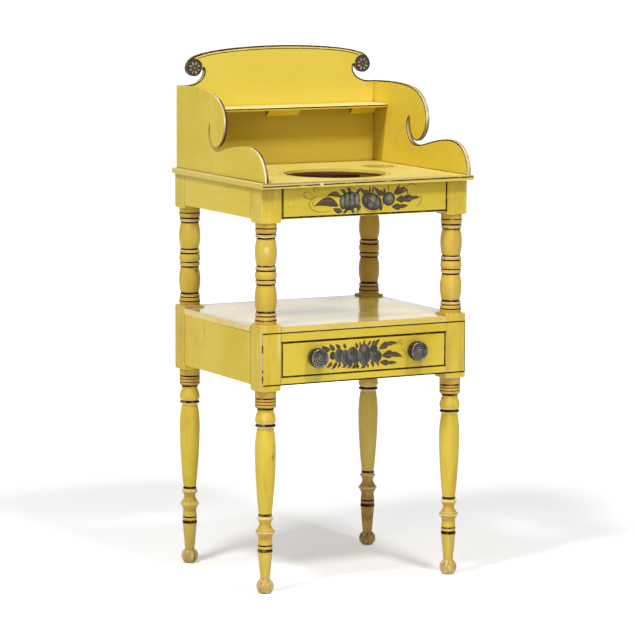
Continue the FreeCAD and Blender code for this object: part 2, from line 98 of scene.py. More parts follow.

# Heights of a leg over which wear, and the painted light on the right back leg, come in, as (none,
# full) in metres
LEG_SCUFF, BACK_LEG_LIGHT, LEG_RUSSET = (0.16, 0.05), (0.39, 0.36), (0.17, 0.1)
BALL_SCUFF, BALL_CRACKS = (0.036, 0.02), (0.031, 0.027)

# Single marks, as centre and reach in millimetres
POST_STAIN = (-194, -166, 263), (4, 6, 13)
POST_CHIP = (-208, -169, 654), (6, 8, 9)
BACK_POST_KNOCK = (-194.7, 155.5, 581), (3.5, 5, 5)
CASE_CRACK = (-221.5, 65.5, 474), (2.0, 1.1, 27)
TOP_CHIP = (-102.0, TOP_LOW.y / MM, TOP_LOW.z / MM + 5.0), (5.0, 2.0, 3.0)

# Rings of a knob's face, as (inner, outer) radii in millimetres
KNOB_FACE = (0, 20)
KNOB_GROOVES = [(5.6, 6.9), (9.9, 11.3), (13.5, 14.6)]
KNOB_RIDGES = [(3.6, 5.0), (8.2, 9.4), (12.2, 13.4), (15.2, 17.2)]

# Fineness of the brush marks and of the wood grain along each axis
GRAIN = {"x": (7.0, 260.0, 260.0), "y": (260.0, 7.0, 260.0), "z": (260.0, 260.0, 7.0)}

# Materials of a stencil, by their place on the piece
FRUIT, LEAVES, EXTRA = 0, 1, 2


def srgb(red, green, blue):
    """A linear colour from the three numbers of a paint chart, 0 to 255."""
    def linear(part):
        part /= 255
        return part / 12.92 if part <= 0.04045 else ((part + 0.055) / 1.055) ** 2.4

    return (linear(red), linear(green), linear(blue), 1.0)


def colour(name, description, red, green, blue):
    """A paint colour that a user can change."""
    return FloatVectorProperty(name=name, description=description, subtype="COLOR", size=4,
                               min=0.0, max=1.0, default=srgb(red, green, blue))


def length(name, description, millimetres):
    """A size that a user can change, given in millimetres."""
    return FloatProperty(name=name, description=description, subtype="DISTANCE", unit="LENGTH",
                         default=millimetres * MM)


def angle(name, description, degrees):
    """A turn that a user can change, given in degrees."""
    return FloatProperty(name=name, description=description, subtype="ANGLE",
                         default=math.radians(degrees))


def amount(name, description, number):
    """A plain number that a user can change."""
    return FloatProperty(name=name, description=description, default=number)


class WashstandColours(bpy.types.PropertyGroup):
    """Colours of the paint, the wear and the metal."""
    yellow: colour("Yellow", "Chrome yellow of the boards and posts", 231, 204, 72)
    deep_yellow: colour("Deep yellow", "Darker clouds in the yellow", 224, 194, 56)
    green_yellow: colour("Green yellow", "Brush streaks in the yellow", 218, 200, 78)
    # Tan also paints shade on the posts: under the flanges of the legs, and over the columns under
    # the top
    tan: colour("Tan", "Thin places where the wood shades through", 200, 158, 74)
    # Grime is also the colour of painted shade, in corners, grooves and other shaded places
    grime_and_shade: colour("Grime", "Dirt in the corners and grooves", 98, 62, 18)
    line: colour("Line", "Dark brown of the striping", 46, 26, 11)
    cream: colour("Cream", "Ground that shows on rubbed arrises", 240, 225, 172)
    pink: colour("Pink ground", "First coat that shows on the board edges", 206, 178, 146)
    bead: colour("Bead", "Cream of the ridges between two rings", 232, 212, 160)
    shelf: colour("Shelf", "Rubbed yellow of the lower shelf", 238, 209, 84)
    lavender: colour("Lavender", "Grey bloom on the worn shelf", 186, 180, 186)
    bare: colour("Bare wood", "Inside faces that were left bare", 92, 54, 32)
    pine: colour("Pine", "Drawer linings", 178, 136, 82)
    foot: colour("Foot", "Scuffed wood of the feet", 202, 170, 104)
    # Russet is laid only low on the right back leg, which it makes browner
    russet: colour("Russet", "Old varnish low on the back legs", 158, 100, 60)
    bronze_dark: colour("Dark bronze", "Edges of the stencilled fruit and leaves", 50, 40, 28)
    bronze_light: colour("Light bronze", "Rubbed bronze powder in the stencil", 152, 150, 122)
    dusk: colour("Dusk", "Greyer powder in the fruit of the apron", 114, 110, 104)
    slate: colour("Slate", "Dark cores of the fruit on the drawer", 50, 47, 44)
    violet: colour("Violet", "Purple powder in the fruit on the drawer", 92, 85, 92)
    leaf: colour("Leaf", "Brown of the stencilled leaves", 106, 80, 52)
    blush: colour("Blush", "Pinkish crown of the stencilled pear", 130, 117, 100)
    petal: colour("Petal", "Petals of the rosettes", 184, 172, 152)
    brass: colour("Brass", "Darkened brass of the knobs", 90, 85, 84)
    # Glint lies on the raised rings of the knobs: rubbed brass, and a painted highlight as well
    glint: colour("Glint", "Rubbed high places of the brass", 214, 210, 196)
    iron: colour("Iron", "Nails, bolts and nuts", 70, 62, 56)


class WashstandSizes(bpy.types.PropertyGroup):
    """Sizes of the painted lines and of the rubbed edges."""
    drawer_line: length("Drawer line", "Width of the line round the drawer", 2.6)
    case_line: length("Case line", "Width of the lines on the case front", 2.7)
    apron_line: length("Apron line", "Width of the lines on the front apron", 3.4)
    side_line: length("Side line", "Width of the line round a side splash board", 2.6)
    crest_line: length("Crest line", "Width of the line round the back splash board", 2.8)
    crest_gap: length("Crest gap", "Pale band between the two crest lines", 2.6)
    crest_thin: length("Crest thin line", "Width of the lower crest line", 1.7)
    rub: length("Rub", "Reach of the rubbing on the arrises", 2.4)
    rosette: length("Rosette", "Radius of a painted rosette", 16.3)
    paint: length("Paint", "Thickness of the stencilled paint", 0.2)


class WashstandStage(bpy.types.PropertyGroup):
    """Camera and lamps."""
    camera_place: FloatVectorProperty(
        name="Camera place", description="Where the camera stands", subtype="TRANSLATION",
        unit="LENGTH", default=(-3.0921, -5.77425, 1.3545))
    azimuth: angle("Azimuth", "Turn of the camera about the upright axis", -28.092)
    elevation: angle("Elevation", "Downward tilt of the camera", 7.465)
    roll: angle("Roll", "Turn of the camera about its view", 0.271)
    lens: amount("Lens", "Focal length on a 36 mm sensor, in millimetres", 193.24)
    left_power: amount("Left lamp", "Power of the left lamp, in watts", 72.0)
    right_power: amount("Right lamp", "Power of the right lamp, in watts", 65.0)
    fill_power: amount("Fill lamp", "Power of the broad front lamp, in watts", 64.0)
    lamp_size: length("Lamp size", "Side of each square main lamp", 550.0)
    fill_size: length("Fill size", "Side of the broad front lamp", 1800.0)
    sky: amount("Sky", "Strength of the soft surround", 0.2)


def settings():
    """The three groups of settings of the scene in use."""
    scene = bpy.context.scene
    return scene.washstand_colours, scene.washstand_sizes, scene.washstand_stage


def darker(tint, share):
    """A colour scaled down by a share."""
    return tuple(part * share for part in tint[:3]) + (1.0,)


class Nodes:
    """A node tree that is put together from short steps."""

    def __init__(self, tree):
        self.tree = tree

    def node(self, kind, **values):
        made = self.tree.nodes.new(kind)
        for key, value in values.items():
            setattr(made, key, value)
        return made

    def feed(self, socket, value):
        """Link a socket, or set a number or colour on it."""
        if isinstance(value, bpy.types.NodeSocket):
            self.tree.links.new(value, socket)
        else:
            socket.default_value = value

    def fill(self, node, *values):
        """Feed the first sockets of a node in order, and give the node back."""
        for socket, value in zip(node.inputs, values):
            self.feed(socket, value)
        return node

    def math(self, operation, *values, clamp=False):
        made = self.node("ShaderNodeMath", operation=operation, use_clamp=clamp)
        return self.fill(made, *values).outputs[0]

    def vector(self, operation, *values):
        """A step of vector arithmetic: its number where it gives one, and else its vector."""
        made = self.fill(self.node("ShaderNodeVectorMath", operation=operation), *values)
        gives_number = operation in ("DOT_PRODUCT", "DISTANCE", "LENGTH")
        return made.outputs["Value" if gives_number else "Vector"]

    def step(self, value, low, high, to_low=0.0, to_high=1.0):
        """A smooth step of a value between two levels."""
        made = self.node("ShaderNodeMapRange", interpolation_type="SMOOTHSTEP")
        return self.fill(made, value, low, high, to_low, to_high).outputs[0]

    def above(self, value, level):
        return self.math("GREATER_THAN", value, level)

    def below(self, value, level):
        return self.math("LESS_THAN", value, level)

    def both(self, *shares):
        """The product of some shares."""
        result = shares[0]
        for share in shares[1:]:
            result = self.math("MULTIPLY", result, share)
        return result

    def either(self, *shares):
        """The greatest of some shares."""
        result = shares[0]
        for share in shares[1:]:
            result = self.math("MAXIMUM", result, share)
        return result

    def seen(self):
        """One for what the camera sees, straight, in a mirror or through a clear piece."""
        path = self.node("ShaderNodeLightPath").outputs
        return self.either(*[path["Is %s Ray" % kind]
                             for kind in ("Camera", "Glossy", "Transmission")])


class Recipe(Nodes):
    """A material that is measured out in the object's own space."""

    def __init__(self, name):
        self.material = bpy.data.materials.new(name)
        self.material.use_nodes = True
        super().__init__(self.material.node_tree)
        self.shader = self.tree.nodes["Principled BSDF"]
        coordinates = self.node("ShaderNodeTexCoord").outputs
        self.place, self.facing = coordinates["Object"], coordinates["Normal"]
        self.colours, self.sizes, _ = settings()

    def set(self, name, value):
        self.feed(self.shader.inputs[name], value)

    def mix(self, share, first, second):
        made = self.node("ShaderNodeMix", data_type="RGBA")
        self.feed(made.inputs[0], share)
        self.feed(made.inputs[6], first)
        self.feed(made.inputs[7], second)
        return made.outputs[2]

    def noise(self, scale, detail=3.0, roughness=0.55, shift=0.0):
        """Noise in the object's own space; a scale per axis makes streaks."""
        mapping = self.node("ShaderNodeMapping")
        self.feed(mapping.inputs["Vector"], self.place)
        mapping.inputs["Scale"].default_value = scale if isinstance(scale, tuple) else (scale,) * 3
        mapping.inputs["Location"].default_value = (shift, shift * 0.7, shift * 0.4)
        made = self.node("ShaderNodeTexNoise")
        self.feed(made.inputs["Vector"], mapping.outputs[0])
        for name, number in (("Scale", 1.0), ("Detail", detail), ("Roughness", roughness)):
            made.inputs[name].default_value = number
        return made.outputs[0]

    def axis(self, letter, vector=None):
        made = self.fill(self.node("ShaderNodeSeparateXYZ"), vector or self.place)
        return made.outputs["xyz".index(letter)]

    def unsigned(self, value):
        """A value without its sign, so that left and right are treated alike."""
        return self.math("ABSOLUTE", value)

    def wobbled(self, letter, wander=0.35 * MM):
        """A coordinate with the small wander of a hand-drawn line."""
        drift = self.math("MULTIPLY_ADD", self.noise(16.0, 2.0, shift=2.0), 2 * wander, -wander)
        return self.math("ADD", self.axis(letter), drift)

    def faces(self, direction, cut=0.7):
        """One where the surface looks along a direction."""
        return self.above(self.vector("DOT_PRODUCT", self.facing, direction), cut)

    def faces_sideways(self):
        """One where the surface looks to the left or to the right."""
        return self.above(self.unsigned(self.axis("x", self.facing)), 0.7)

    def band(self, value, low, high, soft=0.25 * MM):
        """One between two levels of a value, with hardly soft edges."""
        return self.both(self.step(value, low - soft, low + soft),
                         self.step(value, high - soft, high + soft, 1.0, 0.0))

    def bands(self, value, spans, reach):
        """One inside any of up to 15 spans of a value; spans and reach are in millimetres."""
        low, high = reach
        share = self.fill(self.node("ShaderNodeMapRange"), value, low * MM, high * MM, 0.0, 1.0)
        made = self.fill(self.node("ShaderNodeValToRGB"), share.outputs[0])
        ramp = made.color_ramp
        ramp.interpolation = "CONSTANT"
        ramp.elements.remove(ramp.elements[1])
        ramp.elements[0].color = (0.0, 0.0, 0.0, 1.0)
        for start, end in spans:
            for level, shade in ((start, 1.0), (end, 0.0)):
                element = ramp.elements.new((level - low) / (high - low))
                element.color = (shade, shade, shade, 1.0)
        return made.outputs[0]

    def arris(self, reach):
        """How near a sharp edge is, from 0 to 1."""
        bevel = self.node("ShaderNodeBevel", samples=6)
        bevel.inputs["Radius"].default_value = reach
        normal = self.node("ShaderNodeNewGeometry").outputs["Normal"]
        return self.step(self.vector("DOT_PRODUCT", bevel.outputs[0], normal), 0.995, 0.9)

    def corner(self, reach):
        """How deep in a corner or groove the surface lies, from 0 to 1."""
        made = self.node("ShaderNodeAmbientOcclusion", samples=6)
        made.inputs["Distance"].default_value = reach
        return self.step(made.outputs["AO"], 0.75, 0.15)

    def spot(self, centre, reach, soft=0.5):
        """One in an egg-shaped spot with a ragged rim; centre and reach are in millimetres."""
        away = self.vector("SUBTRACT", self.place, [part * MM for part in centre])
        span = self.vector("LENGTH", self.vector("DIVIDE", away, [part * MM for part in reach]))
        ragged = self.math("MULTIPLY_ADD", self.noise(150.0, 3.0, 0.7, shift=13.0), 0.8, span)
        return self.step(ragged, 1.4, 1.4 - soft)

    def bump(self, height, strength, distance):
        made = self.node("ShaderNodeBump")
        made.inputs["Strength"].default_value = strength
        made.inputs["Distance"].default_value = distance
        self.feed(made.inputs["Height"], height)
        self.set("Normal", made.outputs[0])


class YellowPaint(Recipe):
    """Brushed yellow paint with clouds, streaks and flecks, and the coats that come over it."""

    def __init__(self, name, grain="x"):
        super().__init__(name)
        colours, brush = self.colours, GRAIN[grain]
        self.base = colours.yellow
        self.cloud = self.noise(7.0, 4.0)
        self.streak = self.noise(brush, 4.0, 0.65)
        broad = tuple(0.25 * part ** 0.8 + 6 for part in brush)
        thin = self.noise(broad, 4.0, 0.6, shift=21.0)
        fleck = self.noise(190.0, 2.0, shift=3.0)
        self.coat(colours.deep_yellow, self.step(self.cloud, 0.38, 0.7))
        self.coat(colours.green_yellow, self.step(self.streak, 0.45, 0.8, 0.0, 0.5))
        self.coat(colours.tan, self.step(thin, 0.56, 0.74, 0.0, 0.4))
        self.coat(colours.grime_and_shade, self.step(fleck, 0.75, 0.82, 0.0, 0.5))

    def coat(self, tint, *shares):
        """Lay a colour over the paint, as thick as the product of some shares."""
        self.base = self.mix(self.both(*shares), self.base, tint)

    def thinned(self, scale, low, high, least):
        """A patchy share between a least value and 1, for brushed lines."""
        return self.step(self.noise(scale, 3.0, 0.7, shift=9.0), low, high, least, 1.0)

    def finish(self, gloss=0.42, dull=None):
        """Set the colour, the satin gloss, dull where asked, and the brushed relief."""
        satin, flat = 0.21, 0.07
        self.set("Base Color", self.base)
        self.set("Roughness", self.step(self.cloud, 0.2, 0.8, gloss - 0.08, gloss + 0.12))
        self.set("Specular IOR Level", self.step(dull, 0.0, 1.0, satin, flat) if dull else satin)
        self.bump(self.streak, 0.18, 0.35 * MM)
        return self.material


def board_paint(name, grain="x", lines=None, bare=None, rub=0.4, seams=None, pale=None, cool=0.0):
    """Paint of a board, with lines, bare faces, seams and pale faces where they are asked for."""
    paint = YellowPaint(name, grain)
    colours = paint.colours
    dark = None
    if cool:
        paint.coat(colours.green_yellow, cool)
    if pale:
        paint.coat(colours.cream, pale(paint) if callable(pale) else pale)
    # Painted shade and dirt: grime laid darker where the surface lies in a corner
    paint.coat(colours.grime_and_shade, paint.corner(9 * MM), 0.65)
    patch = paint.noise(38.0, 4.0, 0.7, shift=5.0)
    paint.coat(colours.cream, paint.arris(paint.sizes.rub), paint.step(patch, 0.42, 0.62), rub)
    # Seams give dark joints, and on some boards painted shade as well
    if seams:
        paint.coat(colours.grime_and_shade, seams(paint))
    if lines:
        dark = paint.both(lines(paint), paint.thinned(55.0, 0.3, 0.5, 0.8))
        paint.coat(colours.line, dark)
    if bare:
        paint.coat(colours.bare, paint.faces(bare))
    return paint.finish(dull=dark)


def plain_material(name, base, dark, grain, gloss, metal=0.0):
    """A grained or clouded material without paint, for linings and ironwork."""
    recipe = Recipe(name)
    streak = recipe.noise(grain, 5.0, 0.6)
    recipe.set("Base Color", recipe.mix(recipe.step(streak, 0.35, 0.7), base, dark))
    recipe.set("Roughness", recipe.step(streak, 0.2, 0.8, gloss - 0.1, gloss + 0.1))
    recipe.set("Metallic", metal)
    recipe.bump(streak, 0.25, 0.4 * MM)
    return recipe.material


def paint_node(name, material):
    """Give a node its material."""
    slots = frame["nodes"][name].data.materials
    slots.clear()
    slots.append(material)


def new_piece(name, shape, materials, body):
    """A new object from a bmesh, riding a body and finished as a slot."""
    mesh = bpy.data.meshes.new(name)
    shape.to_mesh(mesh)
    shape.free()
    piece = bpy.data.objects.new(name, mesh)
    bpy.context.scene.collection.objects.link(piece)
    for material in materials:
        mesh.materials.append(material)
    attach(piece, body)
    return piece


def post_bands(paint, height, on_leg, on_column):
    """One inside the rings of the leg and of the column."""
    return paint.either(paint.bands(height, on_leg, LEG), paint.bands(height, on_column, COLUMN))


def case_lines(paint, height):
    """Draw the case lines of the front posts, with their chips and stains, and say where."""
    colours, line = paint.colours, paint.sizes.case_line
    half = line / 2
    side = paint.unsigned(paint.math("SUBTRACT", paint.wobbled("x"), POST_LINE_SHIFT))
    level = paint.wobbled("z")
    edge = -POST_LOW.x - LINE_INSET
    ahead = paint.faces(FRONT, 0.3)
    upright = paint.both(paint.band(side, edge - half, edge + half),
                         paint.band(level, RAIL_LOW.z, SHELF_LOW.z), ahead)
    across = paint.either(paint.band(level, RAIL_LOW.z, RAIL_LOW.z + line),
                          paint.band(level, SHELF_LOW.z - half, SHELF_LOW.z + half))
    across = paint.both(across, paint.band(side, 0.0, edge + half), ahead)
    drawn = paint.either(upright, across)
    paint.coat(colours.grime_and_shade, paint.band(height, *LEG_FLANGE), 0.6)
    paint.coat(colours.line, drawn)
    chips = paint.step(paint.noise(42.0, 3.0, 0.7, shift=17.0), 0.44, 0.52)
    paint.coat(colours.pink, upright, paint.below(paint.axis("x"), 0.0), chips)
    paint.coat(colours.grime_and_shade, paint.spot(*POST_STAIN), 0.5)
    paint.coat(colours.cream, paint.spot(*POST_CHIP), 0.5)
    return drawn


def post_paint(front):
    """Yellow posts with dark rings, rubbed ridges, scuffed feet and, in front, the case lines."""
    paint = YellowPaint("post paint front" if front else "post paint back", "z")
    colours, sizes = paint.colours, paint.sizes
    height, level = paint.wobbled("z", 0.3 * MM), paint.axis("z")
    patch = paint.noise(45.0, 4.0, 0.7, shift=4.0)
    run = paint.noise((70.0, 70.0, 9.0), 5.0, 0.65, shift=25.0)
    paint.coat(colours.tan, paint.step(run, 0.48, 0.7, 0.12, 0.65))
    paint.coat(colours.cream, paint.step(run, 0.46, 0.3, 0.0, 0.4))
    # Painted shade: the columns under the top are laid over with tan, the right back one most
    painted_shade = 0.4
    if not front:
        right = paint.above(paint.axis("x"), 0.0)
        painted_shade = paint.step(right, 0.0, 1.0, 0.3, 0.75)
    shaded_columns = paint.both(paint.band(height, *COLUMN_SHADE), painted_shade)
    # Painted shade: tan bands under the flanges of the legs and beside the blocks, broken by
    # patches
    worn = paint.both(post_bands(paint, height, LEG_TAN, COLUMN_TAN),
                      paint.step(patch, 0.3, 0.6, 0.2, 0.85))
    paint.coat(colours.tan, paint.either(worn, shaded_columns))
    paint.coat(colours.foot, paint.step(level, *LEG_SCUFF),
               paint.step(patch, 0.35, 0.65, 0.1, 0.5))
    if not front:
        # On the right back leg: cream low on the leg is painted light, and russet at the foot makes
        # it browner
        paint.coat(colours.cream, paint.step(level, *BACK_LEG_LIGHT, 0.0, 0.16), right)
        paint.coat(colours.russet, paint.step(level, *LEG_RUSSET), right,
                   paint.step(patch, 0.3, 0.62, 0.25, 0.75))
    # Painted shade and dirt in the grooves of the turnings
    paint.coat(colours.grime_and_shade, paint.corner(9 * MM), 0.85)
    paint.coat(colours.bead, post_bands(paint, height, LEG_RUBS, COLUMN_RUBS),
               paint.step(patch, 0.25, 0.6, 0.35, 0.9))
    paint.coat(colours.cream, paint.arris(sizes.rub), paint.step(patch, 0.45, 0.62), 0.5)
    dark = paint.both(post_bands(paint, height, LEG_RINGS, COLUMN_RINGS),
                      paint.thinned(60.0, 0.3, 0.52, 0.6))
    paint.coat(colours.line, dark)
    if front:
        dark = paint.either(dark, case_lines(paint, height))
    else:
        paint.coat(colours.line, paint.spot(*BACK_POST_KNOCK), 0.8)
    paint.coat(colours.foot, paint.step(level, *BALL_SCUFF),
               paint.step(patch, 0.3, 0.6, 0.15, 0.8))
    ball = paint.step(level, *BALL_CRACKS)
    chips = paint.noise((150.0, 150.0, 90.0), 3.0, 0.6, shift=13.0)
    paint.coat(colours.cream, ball, paint.step(chips, 0.52, 0.6, 0.0, 0.5))
    cracks = paint.noise((170.0, 170.0, 36.0), 4.0, 0.7, shift=31.0)
    paint.coat(colours.grime_and_shade, ball, paint.step(cracks, 0.52, 0.64, 0.0, 0.8))
    return paint.finish(0.4, dark)


class WASHSTAND_OT_posts(bpy.types.Operator):
    """Paint the four turned posts"""
    bl_idname = "washstand.posts"
    bl_label = "Paint the posts"

    def execute(self, context):
        for end in ("front", "back"):
            material = post_paint(end == "front")
            for side in SIDES:
                paint_node("post_%s_%s" % (end, side), material)
        return {"FINISHED"}


def apron_lines(paint):
    """The two upright lines and the bottom line of the front apron."""
    line = paint.sizes.apron_line
    edge = -POST_HIGH.x - LINE_INSET
    low = APRON_LOW.z + 1.0 * MM
    side = paint.unsigned(paint.wobbled("x"))
    upright = paint.band(side, edge - line / 2, edge + line / 2)
    bottom = paint.both(paint.band(paint.wobbled("z"), low, low + line),
                        paint.band(side, -1.0, edge + line / 2))
    return paint.both(paint.either(upright, bottom), paint.faces(FRONT))


def top_rail_lines(paint):
    """The line under the lower shelf, along the top of the rail."""
    low = SHELF_LOW.z - paint.sizes.case_line / 2
    return paint.both(paint.band(paint.wobbled("z"), low, 1.0), paint.faces(FRONT))


def bottom_rail_lines(paint):
    """The line along the lower edge of the bottom rail."""
    high = RAIL_LOW.z + paint.sizes.case_line
    return paint.both(paint.band(paint.wobbled("z"), 0.0, high), paint.faces(FRONT))


def front_seams(paint):
    """The joints between the front boards and the posts."""
    return paint.both(paint.above(paint.unsigned(paint.axis("x")), -POST_HIGH.x - 0.7 * MM), 0.45)


def side_seams(paint):
    """The joints between a side board and the posts, wider at the back."""
    along = paint.axis("y")
    ragged = paint.noise((30.0, 30.0, 12.0), 3.0, 0.7, shift=15.0)
    back = paint.both(paint.above(along, BACK_POST_LOW.y - 1.6 * MM),
                      paint.step(ragged, 0.3, 0.55, 0.35, 0.8))
    return paint.either(back, paint.both(paint.below(along, POST_HIGH.y + 0.7 * MM), 0.4))


def case_side_seams(paint):
    """The joints of the left case side, the gap under the shelf and a drying crack."""
    gap = paint.both(paint.above(paint.axis("z"), SHELF_LOW.z - 1.2 * MM),
                     paint.step(paint.axis("y"), 0.02, POST_HIGH.y, 0.1, 1.0))
    crack = paint.spot(*CASE_CRACK, 0.3)
    return paint.either(side_seams(paint), gap, paint.both(crack, 0.5))


class WASHSTAND_OT_frame(bpy.types.Operator):
    """Paint the aprons, the rails and the case panels"""
    bl_idname = "washstand.frame"
    bl_label = "Paint the frame boards"

    def execute(self, context):
        for node, name, lines, bare, rub, seams in (
                ("apron_front", "front apron paint", apron_lines, BACK, 0.3, front_seams),
                ("drawer_rail_top", "top rail paint", top_rail_lines, DOWN, 0.2, front_seams),
                ("drawer_rail_bottom", "bottom rail paint", bottom_rail_lines, DOWN, 0.2,
                 front_seams),
                ("apron_back", "back apron paint", None, FRONT, 0.4, None),
                ("case_back", "case back paint", None, FRONT, 0.4, None)):
            paint_node(node, board_paint(name, "x", lines, bare, rub, seams))
        for side, inward in zip(SIDES, (1, -1)):
            for board, seams in (("apron", side_seams),
                                 ("case_side", case_side_seams if side == "left" else side_seams)):
                name = "%s paint %s" % (board.replace("_", " "), side)
                paint_node("%s_%s" % (board, side),
                           board_paint(name, "y", None, (inward, 0, 0), 0.2, seams))
        return {"FINISHED"}


def hole_distance(paint, mount):
    """Distance from the axis of a hole in the top."""
    x, y, _ = MOUNTS[mount]["pos_m"]
    return paint.vector("DISTANCE", paint.vector("MULTIPLY", paint.place, (1.0, 1.0, 0.0)),
                        (x, y, 0.0))


def hole_radius(mount):
    """Radius of a hole in the top, in metres."""
    return MOUNTS[mount]["dims"]["r_mm"] * MM


def edge_of_top(paint, ahead):
    """Paint the lined, rubbed and chipped edge of the top."""
    colours = paint.colours
    patch = paint.noise(40.0, 4.0, 0.7, shift=5.0)
    fall_to_left = -0.0068
    slant = paint.math("MULTIPLY_ADD", paint.axis("x"), fall_to_left, paint.wobbled("z"))
    paint.coat(colours.pink, ahead, paint.above(slant, TOP_LOW.z + 5.0 * MM), 0.55)
    rubbed = paint.both(paint.arris(paint.sizes.rub), paint.step(patch, 0.3, 0.5), 0.8)
    upper = paint.above(paint.axis("z"), TOP_HIGH.z - 2.4 * MM)
    paint.coat(colours.cream, paint.either(rubbed, paint.both(paint.faces_sideways(), upper, 0.8)))
    broken = paint.step(paint.noise(30.0, 3.0, 0.7, shift=8.0), 0.34, 0.46, 0.45, 1.0)
    line = paint.both(paint.band(slant, TOP_LOW.z + 3.8 * MM, TOP_LOW.z + 6.2 * MM), ahead, broken)
    rim = paint.both(paint.band(slant, TOP_HIGH.z - 1.4 * MM, 1.0), ahead, 0.45)
    paint.coat(colours.line, paint.either(line, rim))
    paint.coat(colours.cream, paint.spot(*TOP_CHIP))


def holes_of_top(paint, upward):
    """Paint the scribed rings round the holes of the top, and the walls of the holes."""
    colours = paint.colours
    basin, radius = hole_distance(paint, "basin_hole"), hole_radius("basin_hole")
    cups = [hole_distance(paint, "cup_hole_" + side) for side in SIDES]
    cup_radius = hole_radius("cup_hole_left")
    rings = [paint.band(basin, radius + 6.0 * MM, radius + 7.4 * MM)]
    rings += [paint.band(cup, cup_radius + 4.6 * MM, cup_radius + 6.0 * MM) for cup in cups]
    paint.coat(colours.grime_and_shade, paint.either(*rings), upward, 0.75)
    # The walls of the holes get a darker copy of the yellow, as painted shade
    cup_wall = paint.either(*[paint.below(cup, cup_radius + 0.3 * MM) for cup in cups])
    paint.coat(darker(colours.yellow, 0.62), cup_wall, 0.8)
    wall = paint.below(basin, radius + 0.3 * MM)
    paint.coat(darker(colours.yellow, 0.78), wall, 0.8)
    under = paint.both(wall, paint.below(paint.axis("z"), TOP_HIGH.z - 5.4 * MM))
    paint.coat(colours.bare, paint.either(under, paint.faces(DOWN)))


def top_paint():
    """The top: rubbed yellow, scribed rings round the holes, bare hole walls and a lined edge."""
    paint = YellowPaint("top paint")
    colours = paint.colours
    upward = paint.faces(UP)
    rubbing = paint.noise(11.0, 5.0, 0.6, shift=6.0)
    paint.coat(colours.green_yellow, 0.6)
    paint.coat(colours.cream, upward, paint.step(rubbing, 0.35, 0.7, 0.1, 0.55))
    # Painted shade and dirt in the corners of the top
    paint.coat(colours.grime_and_shade, paint.corner(10 * MM), 0.6)
    edge_of_top(paint, paint.faces(FRONT))
    holes_of_top(paint, upward)
    return paint.finish(0.36)


class WASHSTAND_OT_top(bpy.types.Operator):
    """Paint the top board"""
    bl_idname = "washstand.top"
    bl_label = "Paint the top"

    def execute(self, context):
        paint_node("top_board", top_paint())
        return {"FINISHED"}


def shelf_paint():
    """The lower shelf: clear-coated, rubbed pale, with grey bloom along its edges."""
    paint = YellowPaint("lower shelf paint")
    colours, sizes = paint.colours, paint.sizes
    along = paint.axis("y")
    rubbing = paint.noise((5.0, 14.0, 5.0), 5.0, 0.6, shift=7.0)
    bloom = paint.noise((4.0, 16.0, 4.0), 4.0, 0.6, shift=11.0)
    from_side = paint.math("SUBTRACT", SHELF_HIGH.x, paint.unsigned(paint.axis("x")))
    from_front = paint.math("SUBTRACT", along, SHELF_LOW.y)
    from_back = paint.math("SUBTRACT", SHELF_HIGH.y, along)
    rim = paint.math("MINIMUM", from_side, paint.math("MINIMUM", from_front, from_back))
    worn = paint.both(paint.step(rim, 26 * MM, 4 * MM), paint.step(rubbing, 0.3, 0.6, 0.45, 1.0))
    shadow = paint.step(from_back, 14 * MM, 9 * MM, 0.0, 0.7)
    pale = paint.mix(paint.step(rubbing, 0.4, 0.7, 0.0, 0.4), colours.shelf, colours.cream)
    pale = paint.mix(paint.step(bloom, 0.54, 0.66, 0.0, 0.45), pale, colours.lavender)
    pale = paint.mix(worn, pale, colours.lavender)
    pale = paint.mix(shadow, pale, darker(colours.lavender, 0.2))
    paint.coat(pale, paint.faces(UP))
    paint.coat(colours.lavender, paint.arris(sizes.rub), paint.step(rubbing, 0.3, 0.55), 0.6)
    # Painted shade and dirt in the corners of the shelf
    paint.coat(colours.grime_and_shade, paint.corner(10 * MM), 0.6)
    lined = paint.both(paint.band(paint.wobbled("z"), 0.0, SHELF_LOW.z + sizes.case_line / 2),
                       paint.faces(FRONT))
    tick = paint.both(paint.below(along, POST_HIGH.y + 1.6 * MM), paint.faces(LEFT))
    paint.coat(colours.line, paint.either(lined, tick))
    paint.coat(colours.bare, paint.faces(DOWN))
    paint.set("Coat Weight", 0.9)
    paint.set("Coat Roughness", 0.1)
    return paint.finish(0.3)


class WASHSTAND_OT_shelf(bpy.types.Operator):
    """Paint the lower shelf"""
    bl_idname = "washstand.shelf"
    bl_label = "Paint the lower shelf"

    def execute(self, context):
        paint_node("lower_shelf", shelf_paint())
        return {"FINISHED"}


def welded(node):
    """The shape of a node as a bmesh with flat faces joined."""
    shape = bmesh.new()
    shape.from_mesh(frame["nodes"][node].data)
    bmesh.ops.remove_doubles(shape, verts=shape.verts, dist=0.005 * MM)
    bmesh.ops.dissolve_limit(shape, angle_limit=math.radians(0.4), verts=shape.verts,
                             edges=shape.edges)
    return shape


def rim_rows(shape, direction, widths):
    """Rows of faces set in from the outline of the outermost face along a direction."""
    direction = Vector(direction)
    looking = [face for face in shape.faces if face.normal.dot(direction) > 0.999]
    depth = {face: face.calc_center_median().dot(direction) for face in looking}
    far = max(depth.values())
    flat = [face for face in looking if far - depth[face] < 0.05 * MM]
    return [bmesh.ops.inset_region(shape, faces=flat, thickness=width, use_boundary=True)["faces"]
            for width in widths]


def smooth_curves(piece, degrees=35):
    """Shade the curved edges smoothly, with flat boards and sharp arrises kept."""
    mesh = piece.data
    mesh.set_sharp_from_angle(angle=math.radians(degrees))
    for polygon in mesh.polygons:
        polygon.use_smooth = max(abs(part) for part in polygon.normal) < 0.9999


